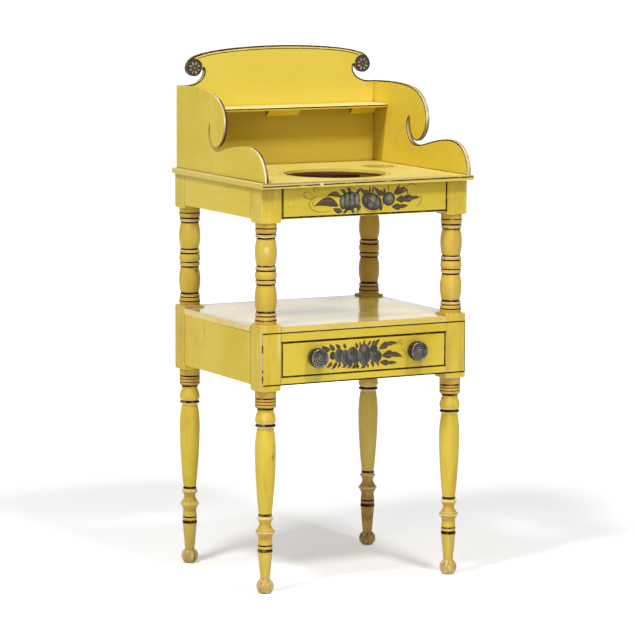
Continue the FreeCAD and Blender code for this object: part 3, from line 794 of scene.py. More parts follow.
def line_material():
    """The dark brown paint of the outlines, thin in places."""
    paint = YellowPaint("line paint")
    thin = paint.thinned(50.0, 0.3, 0.5, 0.75)
    paint.coat(paint.colours.line, thin)
    return paint.finish(dull=thin)


def worn_edge_material(name, lines, rubbed=None):
    """The sawn edges of a splash board: pink ground, cream rubs up to a depth, dark arrises, and
    painted shade where they look down and in corners.
    """
    paint = YellowPaint(name, "y")
    colours = paint.colours
    reach = 1.0
    if rubbed is not None:
        reach = paint.step(paint.axis("y"), rubbed, rubbed - 25 * MM, 0.15, 1.0)
    ground = paint.noise(32.0, 4.0, 0.7, shift=5.0)
    rubs = paint.noise(20.0, 4.0, 0.7, shift=12.0)
    paint.coat(colours.pink, paint.step(ground, 0.3, 0.5, 0.3, 0.8), reach)
    paint.coat(colours.cream, paint.step(rubs, 0.42, 0.6), reach)
    # Painted shade: darker where the edge looks down, and grime where it lies in a corner
    below = paint.step(paint.axis("z", paint.facing), 0.1, -0.5, 0.0, 0.6)
    paint.coat(colours.grime_and_shade, paint.either(paint.both(paint.corner(12 * MM), 0.7), below))
    dark = lines(paint)
    paint.coat(colours.line, dark)
    return paint.finish(0.5, dark)


def left_edge_lines(paint):
    """Dark paint over the inner half of the left board's edge."""
    worn = paint.noise(26.0, 3.0, 0.7, shift=19.0)
    inner = paint.above(paint.axis("x"), -BOARD_HIGH.x + 3.4 * MM)
    rear = paint.step(paint.axis("y"), 8 * MM, 22 * MM, 1.0, 0.35)
    return paint.both(inner, rear, paint.step(worn, 0.3, 0.55, 0.6, 0.95))


def right_edge_lines(paint):
    """Thin dark paint over the outer half of the right board's edge."""
    worn = paint.noise(26.0, 3.0, 0.7, shift=19.0)
    outer = paint.above(paint.axis("x"), BOARD_LOW.x + 3.4 * MM)
    return paint.both(outer, paint.step(worn, 0.3, 0.6, 0.25, 0.6))


def crest_edge_lines(paint):
    """Dark paint over the upper edge of the back board, and on the rear arris of its coves."""
    worn = paint.step(paint.noise(20.0, 3.0, 0.7, shift=19.0), 0.3, 0.6, 0.9, 0.6)
    arch = paint.both(paint.above(paint.axis("z"), CREST_HIGH.z - 46 * MM), worn)
    rear = paint.above(paint.axis("y"), CREST_HIGH.y - 2.4 * MM)
    return paint.either(arch, paint.both(rear, 0.8))


def foot_seam(paint):
    """The dark joint at the foot of a splash board, stronger to the front."""
    line = paint.band(paint.axis("z"), 0.0, TOP_HIGH.z + 1.2 * MM)
    return paint.both(line, paint.step(paint.axis("y"), 0.12, -0.16, 0.4, 0.85))


def right_seam(paint):
    """The joint at the foot of the right board, and the painted shadow of the small shelf behind
    its front.
    """
    # Painted shadow of the small shelf, behind a slanted line from its front edge
    lean = 0.2
    level = paint.axis("z")
    front = paint.math("MULTIPLY_ADD", level, -lean, SMALL_LOW.y + lean * SMALL_LOW.z)
    behind = paint.step(paint.math("SUBTRACT", paint.axis("y"), front), -1 * MM, 3 * MM, 0.0, 0.45)
    painted_shade = paint.both(behind, paint.below(level, SMALL_LOW.z), paint.faces(LEFT))
    return paint.either(foot_seam(paint), painted_shade)


def corner_seam(paint):
    """The dark joints of the back board with the side boards and the top, darker below the small
    shelf as painted shade, and painted shade under the shelf, darkest next to it.
    """
    level = paint.axis("z")
    # The corner joints are dark, and painted darker below the small shelf as shade
    corner = paint.both(paint.band(paint.unsigned(paint.axis("x")), CREST_HIGH.x - 1.6 * MM, 1.0),
                        paint.step(level, SMALL_LOW.z, SMALL_HIGH.z, 0.6, 0.25))
    # Painted shade on the front of the back board under the small shelf
    painted_shade = paint.both(paint.step(level, TOP_HIGH.z, SMALL_LOW.z, 0.18, 0.4),
                       paint.below(level, SMALL_LOW.z), paint.faces(FRONT))
    foot = paint.both(paint.band(level, 0.0, TOP_HIGH.z + 1.0 * MM), 0.6)
    return paint.either(corner, painted_shade, foot)


def shelf_edge(paint):
    """The dark line along the front edge of the small shelf."""
    line = paint.band(paint.wobbled("z"), SMALL_HIGH.z - 4.4 * MM, SMALL_HIGH.z - 2.0 * MM)
    return paint.both(line, paint.faces(FRONT, 0.2))


def shelf_pale(paint):
    """The upper face of the small shelf and the upper part of its edge, made pale."""
    return paint.both(paint.above(paint.axis("z"), SMALL_HIGH.z - 2.2 * MM), 0.75)


def block_shade(paint):
    """Painted shade on the sawn ends and along the arrises of the blocks under the small shelf."""
    return paint.either(paint.both(paint.faces_sideways(), 0.75),
                        paint.both(paint.arris(1.6 * MM), 0.4))


# Materials of a splash board, by their place on the piece
BOARD_FACE, BOARD_LINE, BOARD_EDGE, BOARD_BAND = 0, 1, 2, 3


def side_board(side, inward, line, edge, paint):
    """A side splash board with its painted outline, which leaves the small shelf's housing out."""
    node = "splash_" + side
    width = settings()[1].side_line
    margin = 6 * MM
    shape = welded(node)
    rim = rim_rows(shape, (inward, 0, 0), [width])[0]
    for face in shape.faces:
        face.material_index = BOARD_EDGE if abs(face.normal.x) < 0.5 else BOARD_FACE
    for face in rim:
        middle = face.calc_center_median()
        housing = middle.y > SMALL_LOW.y - margin and middle.z < SMALL_HIGH.z + margin
        if middle.z > TOP_HIGH.z + width and not housing:
            face.material_index = BOARD_LINE
    piece = new_piece(node + "_board", shape, (paint, line, edge), "stand")
    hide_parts(node)
    smooth_curves(piece)


def back_board(line, edge, paint, pale):
    """The back splash board, with a line round its crest and a pale band under the arch."""
    sizes = settings()[1]
    shape = welded("splash_back")
    rows = rim_rows(shape, FRONT, [sizes.crest_line, sizes.crest_gap, sizes.crest_thin])
    for face in shape.faces:
        sawn = abs(face.normal.y) < 0.5 and face.normal.z > -0.9
        face.material_index = BOARD_EDGE if sawn else BOARD_FACE
    for row, kind in zip(rows, (BOARD_LINE, BOARD_BAND, BOARD_LINE)):
        for face in row:
            middle = face.calc_center_median()
            across = abs(middle.x)
            arch = middle.z > ARCH_FOOT and across < ARCH_HALF
            cusp = abs(across - CREST_CUSP.x) < 4 * MM and abs(middle.z - CREST_CUSP.y) < 5 * MM
            outer = row is rows[0] and middle.z > BOARD_HIGH.z - 4 * MM
            if arch or (outer and not cusp):
                face.material_index = kind
    piece = new_piece("splash_back_board", shape, (paint, line, edge, pale), "stand")
    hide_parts("splash_back")
    smooth_curves(piece)


class WASHSTAND_OT_gallery(bpy.types.Operator):
    """Paint the splash boards, with their outlines, and the small shelf between them"""
    bl_idname = "washstand.gallery"
    bl_label = "Paint the splash boards"

    def execute(self, context):
        line = line_material()
        for side, inward, lines, seams, rubbed in (
                ("left", 1, left_edge_lines, foot_seam, 60 * MM),
                ("right", -1, right_edge_lines, right_seam, None)):
            edge = worn_edge_material("splash edge " + side, lines, rubbed)
            paint = board_paint("splash paint " + side, "z", rub=0.3, seams=seams, cool=0.25)
            side_board(side, inward, line, edge, paint)
        back_board(line, worn_edge_material("crest edge", crest_edge_lines),
                   board_paint("back board paint", rub=0.2, seams=corner_seam, pale=0.045,
                               cool=0.4),
                   board_paint("crest band paint", rub=0.2, pale=0.45))
        paint_node("splash_shelf", board_paint("small shelf paint", lines=shelf_edge, rub=0.5,
                                               pale=shelf_pale))
        block_paint = board_paint("shelf block paint", rub=0.2, seams=block_shade)
        for place in ("left", "centre", "right"):
            paint_node("shelf_block_" + place, block_paint)
        return {"FINISHED"}


def drawer_lines(paint):
    """The dark line round the drawer front."""
    line = paint.sizes.drawer_line
    level = paint.wobbled("z")
    upright = paint.band(paint.unsigned(paint.wobbled("x")), DRAWER_HIGH.x - 1.3 * line,
                         DRAWER_HIGH.x - 0.2 * line)
    low = paint.band(level, 0.0, DRAWER_LOW.z + line)
    high = paint.band(level, DRAWER_HIGH.z - 1.2 * line, 2.0)
    return paint.both(paint.either(upright, low, high), paint.faces(FRONT))


class WASHSTAND_OT_drawer(bpy.types.Operator):
    """Paint the drawer front, and give the drawer its pine linings"""
    bl_idname = "washstand.drawer"
    bl_label = "Finish the drawer"

    def execute(self, context):
        pine = settings()[0].pine
        paint_node("drawer_front", board_paint("drawer front paint", lines=drawer_lines,
                                               bare=BACK, rub=0.2))
        along_y, along_x = (plain_material(name, pine, darker(pine, 0.7), GRAIN[grain], 0.65)
                            for name, grain in (("drawer side pine", "y"),
                                                ("drawer back pine", "x")))
        for side in SIDES:
            for piece in ("side", "runner", "guide", "kicker"):
                paint_node("drawer_%s_%s" % (piece, side), along_y)
            paint_node("drawer_stop_" + side, along_x)
        paint_node("drawer_back", along_x)
        paint_node("drawer_bottom", along_x)
        return {"FINISHED"}


def knob_brass():
    """Darkened brass with dirt in the grooves of the face, painted shade on the sides, and rubbed
    raised rings painted light as highlights.
    """
    recipe = Recipe("knob brass")
    brass = recipe.colours.brass
    cloud = recipe.noise(160.0, 4.0)
    across = recipe.math("SUBTRACT", recipe.unsigned(recipe.axis("x")), KNOB_AXIS.x)
    up = recipe.math("SUBTRACT", recipe.axis("z"), KNOB_AXIS.z)
    radius = recipe.math("SQRT", recipe.math("ADD", recipe.both(across, across),
                                             recipe.both(up, up)))
    ahead = recipe.faces(FRONT, 0.5)
    grooves = recipe.both(recipe.bands(radius, KNOB_GROOVES, KNOB_FACE), ahead, 0.85)
    ridges = recipe.both(recipe.bands(radius, KNOB_RIDGES, KNOB_FACE), ahead)
    base = recipe.mix(recipe.step(cloud, 0.35, 0.7), brass, darker(brass, 0.6))
    # Painted shade: the faces that do not look ahead are darker
    base = recipe.mix(ahead, darker(brass, 0.3), base)
    base = recipe.mix(grooves, base, darker(brass, 0.12))
    # Painted highlight and wear: the raised rings are rubbed towards the glint colour
    rub = recipe.both(ridges, recipe.step(cloud, 0.35, 0.6, 0.05, 0.4))
    recipe.set("Base Color", recipe.mix(rub, base, recipe.colours.glint))
    recipe.set("Metallic", 0.5)
    recipe.set("Roughness", recipe.step(cloud, 0.2, 0.8, 0.24, 0.36))
    return recipe.material


class WASHSTAND_OT_knobs(bpy.types.Operator):
    """Finish the brass knobs and the ironwork"""
    bl_idname = "washstand.knobs"
    bl_label = "Finish the knobs and ironwork"

    def execute(self, context):
        colours, _, _ = settings()
        brass = knob_brass()
        iron = plain_material("dark iron", colours.iron, darker(colours.iron, 0.5), (90.0,) * 3,
                              0.5, 0.7)
        filled = board_paint("painted nail heads")
        for side in SIDES:
            paint_node("knob_" + side, brass)
            paint_node("knob_bolt_" + side, iron)
        for group in ("knob_nuts", "drawer_bottom_nails"):
            paint_node(group, iron)
        for group in ("top_nails", "splash_nails", "lower_shelf_nails"):
            paint_node(group, filled)
        return {"FINISHED"}


class WASHSTAND_OT_blocks(bpy.types.Operator):
    """Leave the glue blocks under the top bare"""
    bl_idname = "washstand.blocks"
    bl_label = "Finish the glue blocks"

    def execute(self, context):
        bare = settings()[0].bare
        wood = plain_material("glue block wood", bare, darker(bare, 0.7), GRAIN["x"], 0.7)
        for place in ("left", "right", "back_left", "back_right"):
            paint_node("top_block_" + place, wood)
        return {"FINISHED"}


def turned(x, z, across, up, turn):
    """A point at some way across and up from a centre, turned about that centre."""
    return (x + across * math.cos(turn) - up * math.sin(turn),
            z + across * math.sin(turn) + up * math.cos(turn))


class PaintLayer:
    """Films of paint on a plane that looks along -Y, with a shade stored at each point.

    Places and sizes are in millimetres, and a lift of 1 is one thickness of paint.
    """

    def __init__(self, y):
        self.shape = bmesh.new()
        self.shade = self.shape.verts.layers.float.new("shade")
        self.y = y
        self.thickness = settings()[1].paint

    def point(self, x, z, shade, lift=1.0):
        vertex = self.shape.verts.new((x * MM, self.y - lift * self.thickness, z * MM))
        vertex[self.shade] = shade
        return vertex

    def grid(self, rows, kind):
        """Faces between rows of points, all of one material."""
        for first, second in zip(rows, rows[1:]):
            for corners in zip(first, first[1:], second[1:], second):
                self.face(corners, kind)

    def face(self, points, kind):
        corners = list(dict.fromkeys(points))
        if len(corners) > 2:
            made = self.shape.faces.new(corners)
            made.material_index = kind
            made.normal_update()
            if made.normal.y > 0:
                made.normal_flip()

    def fruit(self, x, z, half_width, half_height, tilt=0.0, kind=FRUIT, lift=1.0, ribs=0,
              peak=0.9, rim=False):
        """A round fruit with a lit crown and ribs, or with a dark core and a lit left rim."""
        spokes, rings = 28, 5
        rows = []
        for ring in range(rings + 1):
            share = ring / rings
            row = []
            for spoke in range(spokes):
                way = 2 * math.pi * spoke / spokes
                across = share * half_width * math.cos(way)
                up = share * half_height * math.sin(way)
                if rim:
                    lit = 0.25 + 0.42 * share * (1 - math.cos(way)) + 0.14 * math.cos(0.9 * across)
                else:
                    lit = (1 - share ** 2.5) * (0.8 + 0.2 * math.sin(way + 0.9))
                if ribs:
                    lit *= 0.72 + 0.28 * math.cos(ribs * math.pi * across / half_width)
                row.append((*turned(x, z, across, up, math.radians(tilt)), max(peak * lit, 0.0)))
            rows.append(row)
        centre = self.point(*rows[0][0], lift)
        loops = [[self.point(*place, lift) for place in row] for row in rows[1:]]
        for first, second in zip(loops[0], loops[0][1:] + loops[0][:1]):
            self.face((centre, first, second), kind)
        self.grid([loop + loop[:1] for loop in loops], kind)

    def leaf(self, root, tip, half_width, bend=0.0, lift=1.0, teeth=0):
        """A pointed leaf with a pale vein and a hooked tip, bent to one side, lobed if asked."""
        root, tip = Vector(root), Vector(tip)
        along = tip - root
        side = Vector((-along.y, along.x)).normalized()
        steps = 6 * teeth if teeth else 14
        profile = ((-1.0, 0.05), (-0.55, 0.5), (-0.12, 1.0), (0.12, 0.3), (0.55, 0.55), (1.0, 0.05))
        rows = []
        for index in range(steps + 1):
            share = index / steps
            swing = bend * 4 * share * (1 - share) - 0.3 * half_width * share ** 4
            wide = 0.0
            if 0 < share < 1:
                wide = half_width * math.sin(math.pi * share ** 0.75) ** 0.9
            if teeth:
                wide *= 1.1 - 0.5 * (1 - share * teeth % 1) ** 2
            middle = root + along * share + side * swing
            rows.append([self.point(*(middle + side * (wide * part)), shade, lift)
                         for part, shade in profile])
        self.grid(rows, LEAVES)

    def stroke(self, points, width, kind=LEAVES, lift=0.8, shade=0.1, ends=0.35):
        """A thin brush line along a smooth run of points, tapered to a share at both ends."""
        places = [Vector(point) for point in points]
        steps = 7
        path = []
        padded = [2 * places[0] - places[1]] + places + [2 * places[-1] - places[-2]]
        for a, b, c, d in zip(padded, padded[1:], padded[2:], padded[3:]):
            for index in range(steps):
                t = index / steps
                path.append(0.5 * (2 * b + (c - a) * t + (2 * a - 5 * b + 4 * c - d) * t * t
                                   + (3 * b - a - 3 * c + d) * t ** 3))
        path.append(places[-1])
        last = len(path) - 1
        rows = []
        for index, place in enumerate(path):
            ahead = path[min(index + 1, last)] - path[max(index - 1, 0)]
            side = Vector((-ahead.y, ahead.x)).normalized()
            half = width / 2 * (ends + (1 - ends) * math.sin(math.pi * index / last))
            rows.append([self.point(*(place + side * half), shade, lift),
                         self.point(*(place - side * half), shade, lift)])
        self.grid(rows, kind)

    def ring(self, x, z, half_width, half_height, width, kind=LEAVES, lift=0.8, tilt=0.0):
        """A thin brush line round an oval."""
        spokes = 48
        rows = []
        for spoke in range(spokes):
            way = 2 * math.pi * spoke / spokes
            rows.append([self.point(*turned(x, z, (half_width + grow) * math.cos(way),
                                            (half_height + grow) * math.sin(way),
                                            math.radians(tilt)), 0.15, lift)
                         for grow in (-width / 2, width / 2)])
        self.grid(rows + rows[:1], kind)

    def closed(self):
        """The shapes as closed films of paint, with edges and backs down to the board."""
        shape = self.shape
        bmesh.ops.remove_doubles(shape, verts=shape.verts, dist=0.001 * MM)
        bmesh.ops.dissolve_degenerate(shape, edges=shape.edges, dist=0.001 * MM)
        made = bmesh.ops.extrude_face_region(shape, geom=shape.faces[:], use_keep_orig=True)
        raised = {item for item in made["geom"] if isinstance(item, bmesh.types.BMVert)}
        for vertex in shape.verts:
            if vertex not in raised:
                vertex.co.y = self.y
        bmesh.ops.recalc_face_normals(shape, faces=shape.faces)
        self.put_in_order()
        return shape

    def put_in_order(self):
        """Store edges and faces in the order of their points, which is the same each run."""
        self.shape.verts.index_update()
        for items in (self.shape.edges, self.shape.faces):
            order = sorted(items, key=lambda item: sorted(point.index for point in item.verts))
            rank = {item: place for place, item in enumerate(order)}
            items.sort(key=rank.get)


def stencil_paint(name, dark, light, dusk=None, thin=0.7):
    """Stencilled bronze: the shade stored in the mesh, broken by the grain of the powder."""
    recipe = Recipe(name)
    shade = recipe.node("ShaderNodeAttribute", attribute_name="shade").outputs["Fac"]
    powder = recipe.noise((420.0, 420.0, 150.0), 3.0, 0.7)
    patch = recipe.noise((120.0, 120.0, 70.0), 3.0, 0.6, shift=2.0)
    if dusk:
        light = recipe.mix(recipe.step(patch, 0.46, 0.58), light, dusk)
    worn = recipe.both(shade, recipe.step(patch, 0.36, 0.6, thin, 1.2))
    level = recipe.math("ADD", worn, recipe.math("MULTIPLY_ADD", powder, 0.5, -0.25), clamp=True)
    recipe.set("Base Color", recipe.mix(recipe.step(level, 0.05, 0.9), dark, light))
    recipe.set("Roughness", 0.42)
    recipe.set("Metallic", 0.25)
    recipe.bump(powder, 0.1, 0.1 * MM)
    return recipe.material


def faint_paint():
    """A hardly darker stain on the yellow."""
    paint = YellowPaint("faint stain")
    paint.coat(paint.colours.grime_and_shade, 0.3)
    return paint.finish()


# Tendrils of the apron, as runs of (x, z) in millimetres
APRON_TENDRILS = (
    ((-106, 750), (-120, 746), (-130, 751), (-131, 758), (-122, 760), (-113, 755)),
    ((-104, 757), (-112, 763), (-106, 768), (-99, 761)),
    ((-103, 752), (-116, 744), (-121, 737), (-114, 727), (-98, 721), (-72, 722)),
    ((-110, 745), (-113, 737), (-108, 730)),
    ((-38, 769), (-26, 763), (-12, 756)),
    ((117, 746), (121, 738), (117, 728), (108, 722)),
    ((88, 763), (100, 767), (112, 762)),
    ((49, 752), (49, 767)), ((45, 763), (53, 763)), ((46, 759), (52, 759)),
    ((-60, 724), (-48, 718), (-36, 722), (-30, 718)),
    ((-26, 722), (-18, 717), (-10, 720)), ((36, 741), (39, 733), (35, 725)))

# Leaves of the apron, as root, tip, half width, bend, lift and teeth
APRON_LEAVES = (
    ((-58, 731), (-109, 730), 8.4, -9.5, 1.0, 0), ((-52, 747), (-84, 748), 4.8, -6.5, 0.8, 0),
    ((-43, 754), (-55, 761), 3.6, -1.5, 1.0, 0), ((-32, 755), (-42, 765), 3.6, -1.5, 1.0, 0),
    ((-18, 752), (-11, 764), 3.0, 1.0, 1.0, 0), ((9, 752), (-13, 762), 5.4, 2.0, 1.0, 2),
    ((8, 753), (10, 766), 2.4, 0.0, 0.75, 0), ((14, 753), (18, 766), 2.2, 0.0, 0.85, 0),
    ((40, 747), (17, 763), 5.4, 1.0, 1.0, 2), ((40, 748), (39, 762), 3.2, -1.0, 0.8, 0),
    ((61, 749), (85, 764), 4.2, -1.5, 1.0, 0), ((61, 749), (73, 768), 3.2, -1.5, 0.85, 0),
    ((61, 749), (91, 757), 3.0, -1.5, 0.7, 0), ((64, 738), (118, 743), 7.4, -1.0, 1.0, 3),
    ((56, 725), (92, 728), 6.0, -2.0, 1.0, 2), ((-50, 721), (-70, 726), 5.0, 1.5, 1.0, 0),
    ((-14, 733), (-17, 718), 4.2, 1.0, 1.0, 0), ((31, 729), (35, 718), 3.8, 0.0, 1.0, 0),
    ((-40, 723), (-48, 716), 3.0, 0.0, 1.0, 0), ((-30, 723), (-24, 716), 3.0, 0.0, 1.0, 0))

# The banana bunch, as x, z, half width and half height, and the marks on it
BANANAS = ((-49, 738, 7.0, 14.0), (-39.5, 739.5, 7.5, 17.0), (-29, 740, 7.5, 17.5),
           (-19.5, 741, 7.0, 15.5))
BANANA_MARKS = ((-44, 747), (-34, 742), (-24, 749), (-39, 730), (-29, 729))
MELON = (13, 736.5)
MELON_TILT = -20.0


def apron_fruit():
    """Melon, banana bunch and plum among leaves and tendrils, on the front apron."""
    layer = PaintLayer(APRON_LOW.y)
    for points in APRON_TENDRILS:
        layer.stroke(points, 1.0)
    layer.stroke(((80, 758), (88, 757), (92, 746)), 2.6)
    for root, tip, wide, bend, lift, teeth in APRON_LEAVES:
        layer.leaf(root, tip, wide, bend, lift, teeth)
    layer.fruit(-34.5, 739.5, 20.5, 17.5, lift=1.2, peak=0.2)
    for index, place in enumerate(BANANAS):
        layer.fruit(*place, lift=1.4 + 0.15 * index, peak=0.95)
    for x, z in BANANA_MARKS:
        layer.stroke(((x - 3, z - 2), (x, z + 1), (x + 3, z - 2)), 2.4, FRUIT, 2.1, 0.05)
    layer.fruit(*MELON, 22.5, 16.4, MELON_TILT, lift=1.6, ribs=3, peak=1.0)
    layer.ring(*MELON, 25.0, 18.8, 0.8, lift=0.9, tilt=MELON_TILT)
    layer.stroke(((-2, 745), (12, 737), (26, 726)), 1.8, LEAVES, 2.2, 0.0)
    layer.stroke(((-1, 747.5), (14, 739), (28, 727.5)), 1.0, FRUIT, 2.1, 1.0)
    layer.fruit(50, 740, 13.5, 13.0, lift=1.6, peak=0.8)
    layer.ring(-158, 739, 8.0, 8.0, 0.9, EXTRA)
    return layer.closed()


# Small leaves of the drawer, as root, tip, half width and bend
DRAWER_LEAVES = (
    ((-74, 458), (-93, 467), 4.8, 1.5), ((-64, 458), (-76, 470), 4.4, 1.0),
    ((-52, 461), (-63, 469), 3.6, 0.5), ((-40, 460), (-46, 470), 3.2, 0.5),
    ((-14, 459), (-20, 470), 3.0, 0.5), ((-8, 462), (-11, 471), 2.2, 0.3),
    ((-2, 464), (0, 474), 2.4, 0.4), ((8, 462), (13, 472), 2.8, 0.5),
    ((22, 461), (32, 474), 3.6, 0.8), ((16, 462), (22, 473), 2.6, 0.5),
    ((-70, 435), (-81, 425), 3.4, 0.6), ((-60, 435), (-70, 421), 3.4, 0.6),
    ((-52, 434), (-58, 423), 2.6, 0.5), ((-38, 431), (-48, 423), 3.2, 0.6),
    ((-14, 431), (-28, 420), 4.4, 0.8), ((-26, 430), (-38, 421), 2.8, 0.5),
    ((-16, 427), (-13, 419), 2.8, 0.3), ((4, 428), (-8, 419), 3.2, 0.6),
    ((14, 432), (20, 420), 3.0, 0.6), ((26, 431), (31, 422), 2.6, 0.4),
    ((6, 428), (8, 419), 2.4, 0.3))
LOBED_LEAVES = (((30, 454), (71, 466), 6.2, 3.0), ((36, 441), (83, 439), 7.4, 3.0),
                ((32, 430), (71, 428), 5.2, -2.0))
DRAWER_TENDRILS = (((66, 461), (74, 464), (81, 461), (78, 457)), ((70, 466), (78, 469), (84, 465)),
                   ((78, 452), (86, 448), (88, 440), (84, 432)))

# Fruit of the drawer, as x, z, half width, half height and the brightness of the lit rim
DRAWER_FRUIT = (
    (-69, 448, 6.0, 8.0, 0.3), (-33, 434, 7.0, 7.5, 0.5), (-55, 447, 10.5, 13.5, 0.75),
    (-42, 443, 9.5, 15.0, 0.8), (-20, 438, 8.0, 9.5, 0.6), (-26, 450, 11.5, 12.5, 0.85),
    (24, 441, 13.0, 12.0, 0.75), (19, 456, 9.0, 8.0, 0.5))


def drawer_fruit():
    """A cluster of fruit among leaves, between the knobs of the drawer."""
    layer = PaintLayer(DRAWER_LOW.y)
    for leaf in DRAWER_LEAVES:
        layer.leaf(*leaf)
    for leaf in LOBED_LEAVES:
        layer.leaf(*leaf, teeth=2)
    for points in DRAWER_TENDRILS:
        layer.stroke(points, 0.9)
    for index, (x, z, wide, high, peak) in enumerate(DRAWER_FRUIT):
        layer.fruit(x, z, wide, high, lift=1.2 + 0.12 * index, peak=peak, rim=True)
    layer.fruit(-1, 446, 14.0, 20.5, lift=2.3, peak=0.8, rim=True)
    layer.fruit(-3, 456.5, 9.0, 9.0, kind=EXTRA, lift=2.45, peak=0.75)
    return layer.closed()


class WASHSTAND_OT_stencils(bpy.types.Operator):
    """Stencil the fruit on the apron and on the drawer"""
    bl_idname = "washstand.stencils"
    bl_label = "Stencil the fruit"

    def execute(self, context):
        colours, _, _ = settings()
        dark, light = colours.bronze_dark, colours.bronze_light
        leaves = stencil_paint("stencilled leaves", dark, colours.leaf)
        bronze = stencil_paint("bronze fruit", dark, light, colours.dusk)
        slate = stencil_paint("slate fruit", colours.slate, darker(light, 0.68), colours.violet,
                              0.5)
        blush = stencil_paint("pear blush", colours.slate, colours.blush)
        new_piece("apron_fruit", apron_fruit(), (bronze, leaves, faint_paint()), "stand")
        new_piece("drawer_fruit", drawer_fruit(), (slate, leaves, blush), "drawer")
        return {"FINISHED"}


class WASHSTAND_OT_rosettes(bpy.types.Operator):
    """Paint a rosette in each eye of the crest"""
    bl_idname = "washstand.rosettes"
    bl_label = "Paint the rosettes"

    def execute(self, context):
        colours, sizes, _ = settings()
        dark = stencil_paint("rosette ground", darker(colours.leaf, 0.4),
                             darker(colours.bronze_light, 0.5))
        light = stencil_paint("rosette petals", colours.bronze_dark, colours.petal)
        ground, bright = 0, 1
        radius = sizes.rosette / MM
        petals = 8
        hug_degrees = (12, 32, 52, 72, 92, 108)
        for side, sign in zip(SIDES, (-1, 1)):
            eye = Vector((sign * CREST_EYE.x, CREST_EYE.y)) / MM
            layer = PaintLayer(CREST_LOW.y)
            layer.fruit(*eye, radius, radius, kind=ground, peak=0.3)
            for petal in range(petals):
                way = 2 * math.pi * (petal + 0.5) / petals
                place = eye + Vector((math.cos(way), math.sin(way))) * radius * 0.54
                layer.fruit(*place, radius * 0.15, radius * 0.27, math.degrees(way) - 90, bright,
                            1.8)
            layer.fruit(*eye, radius * 0.14, radius * 0.14, kind=bright, lift=1.8)
            hug = [eye + Vector((-sign * math.cos(turn), math.sin(turn))) * (radius + 0.9)
                   for turn in map(math.radians, hug_degrees)]
            layer.stroke(hug, 2.2, ground, 0.8, 0.0, 1.0)
            new_piece("rosette_" + side, layer.closed(), (dark, light), "stand")
        return {"FINISHED"}


def floor_material(name, glow):
    """A white floor that keeps the shadows near the object and runs out to plain white."""
    recipe = Recipe(name)
    span = recipe.vector("LENGTH", recipe.place)
    matt = recipe.node("ShaderNodeBsdfDiffuse")
    matt.inputs["Color"].default_value = (0.94, 0.94, 0.94, 1.0)
    light = recipe.node("ShaderNodeEmission")
    recipe.feed(light.inputs["Strength"],
                recipe.both(recipe.seen(), recipe.step(span, 0.9, 2.4, glow, 1.0)))
    blend = recipe.fill(recipe.node("ShaderNodeAddShader"), matt.outputs[0], light.outputs[0])
    recipe.feed(recipe.tree.nodes["Material Output"].inputs["Surface"], blend.outputs[0])
    return recipe.material


def white_surround(strength):
    """A soft white sky that is plain white to the camera, and behind the object in mirrors."""
    white, away_from_camera = (1.0, 1.0, 1.0, 1.0), (0.5, 0.866, 0.0)
    world = bpy.data.worlds.new("white surround")
    world.use_nodes = True
    sky = Nodes(world.node_tree)
    soft = sky.fill(sky.tree.nodes["Background"], white, strength)
    camera_ray = sky.node("ShaderNodeLightPath").outputs["Is Camera Ray"]
    direction = sky.node("ShaderNodeTexCoord").outputs["Generated"]
    backward = sky.vector("DOT_PRODUCT", direction, away_from_camera)
    behind = sky.step(backward, 0.5, 0.95, strength, 1.0)
    plain = sky.fill(sky.node("ShaderNodeBackground"), white, sky.either(camera_ray, behind))
    blend = sky.fill(sky.node("ShaderNodeMixShader"), sky.seen(), soft.outputs[0],
                     plain.outputs[0])
    sky.feed(sky.tree.nodes["World Output"].inputs["Surface"], blend.outputs[0])
    return world


def area_lamp(name, place, target, size, power):
    """A square soft lamp that looks at a point."""
    lamp = bpy.data.lights.new(name, "AREA")
    lamp.shape = "SQUARE"
    lamp.size = size
    lamp.energy = power
    holder = bpy.data.objects.new(name, lamp)
    holder.location = place
    holder.rotation_euler = (Vector(target) - Vector(place)).to_track_quat("-Z", "Y").to_euler()
    bpy.context.scene.collection.objects.link(holder)


def white_floor():
    """A wide floor just under the feet."""
    half = 30.0
    shape = bmesh.new()
    shape.faces.new([shape.verts.new((x * half, y * half, 0))
                     for x, y in ((-1, -1), (1, -1), (1, 1), (-1, 1))])
    mesh = bpy.data.meshes.new("floor")
    shape.to_mesh(mesh)
    shape.free()
    mesh.materials.append(floor_material("white floor", 0.38))
    floor = bpy.data.objects.new("floor", mesh)
    floor.location.z = -0.2 * MM
    bpy.context.scene.collection.objects.link(floor)


def photo_camera(stage):
    """A long-lens camera at its place, turned, tilted and rolled."""
    camera = bpy.data.cameras.new("camera")
    camera.lens = stage.lens
    camera.sensor_width = 36.0
    camera.clip_end = 100.0
    turn, tilt, roll = stage.azimuth, stage.elevation, stage.roll
    backward = Vector((math.sin(turn) * math.cos(tilt), -math.cos(turn) * math.cos(tilt),
                       math.sin(tilt)))
    right = Vector(UP).cross(backward).normalized()
    up = backward.cross(right)
    across = math.cos(roll) * right + math.sin(roll) * up
    upward = -math.sin(roll) * right + math.cos(roll) * up
    holder = bpy.data.objects.new("camera", camera)
    holder.matrix_world = Matrix.Translation(stage.camera_place) @ Matrix(
        (across, upward, backward)).transposed().to_4x4()
    bpy.context.scene.collection.objects.link(holder)
    return holder


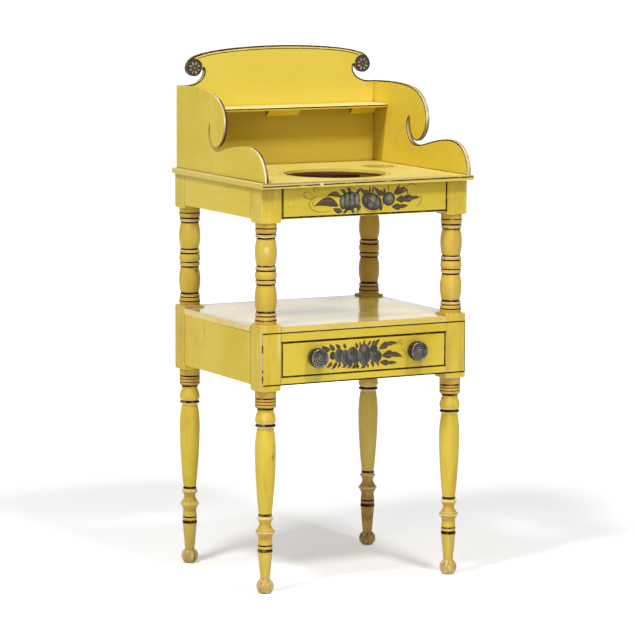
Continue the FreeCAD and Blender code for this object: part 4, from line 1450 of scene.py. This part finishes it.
class WASHSTAND_OT_stage(bpy.types.Operator):
    """Set the floor, the white surround, the lamps and the camera"""
    bl_idname = "washstand.stage"
    bl_label = "Set the stage"

    def execute(self, context):
        _, _, stage = settings()
        scene = context.scene
        white_floor()
        for name, place, height, size, power in (
                ("left lamp", (-1.75, -0.9, 3.7), 0.4, stage.lamp_size, stage.left_power),
                ("right lamp", (0.2, -2.2, 3.7), 0.4, stage.lamp_size, stage.right_power),
                ("front lamp", (-4.2, -4.2, 2.4), 0.6, stage.fill_size, stage.fill_power)):
            area_lamp(name, place, (0, 0, height), size, power)
        scene.world = white_surround(stage.sky)
        scene.camera = photo_camera(stage)
        scene.view_settings.view_transform = "Standard"
        return {"FINISHED"}


STEPS = (WASHSTAND_OT_posts, WASHSTAND_OT_frame, WASHSTAND_OT_top, WASHSTAND_OT_shelf,
         WASHSTAND_OT_gallery, WASHSTAND_OT_drawer, WASHSTAND_OT_knobs, WASHSTAND_OT_blocks,
         WASHSTAND_OT_stencils, WASHSTAND_OT_rosettes, WASHSTAND_OT_stage)


class WASHSTAND_PT_panel(bpy.types.Panel):
    """The steps that finish the washstand"""
    bl_idname = "WASHSTAND_PT_panel"
    bl_label = "Painted washstand"
    bl_space_type = "VIEW_3D"
    bl_region_type = "UI"
    bl_category = "Washstand"

    def draw(self, context):
        for step in STEPS:
            self.layout.operator(step.bl_idname)
        for group in settings():
            box = self.layout.box()
            for name in group.__annotations__:
                box.prop(group, name)


CLASSES = (WashstandColours, WashstandSizes, WashstandStage) + STEPS + (WASHSTAND_PT_panel,)


def register():
    for item in CLASSES:
        bpy.utils.register_class(item)
    bpy.types.Scene.washstand_colours = PointerProperty(type=WashstandColours)
    bpy.types.Scene.washstand_sizes = PointerProperty(type=WashstandSizes)
    bpy.types.Scene.washstand_stage = PointerProperty(type=WashstandStage)


def unregister():
    del bpy.types.Scene.washstand_stage
    del bpy.types.Scene.washstand_sizes
    del bpy.types.Scene.washstand_colours
    for item in reversed(CLASSES):
        bpy.utils.unregister_class(item)


def main():
    """Run every step in order."""
    register()
    for step in STEPS:
        group, name = step.bl_idname.split(".")
        getattr(getattr(bpy.ops, group), name)()


if __name__ == "__main__":
    main()
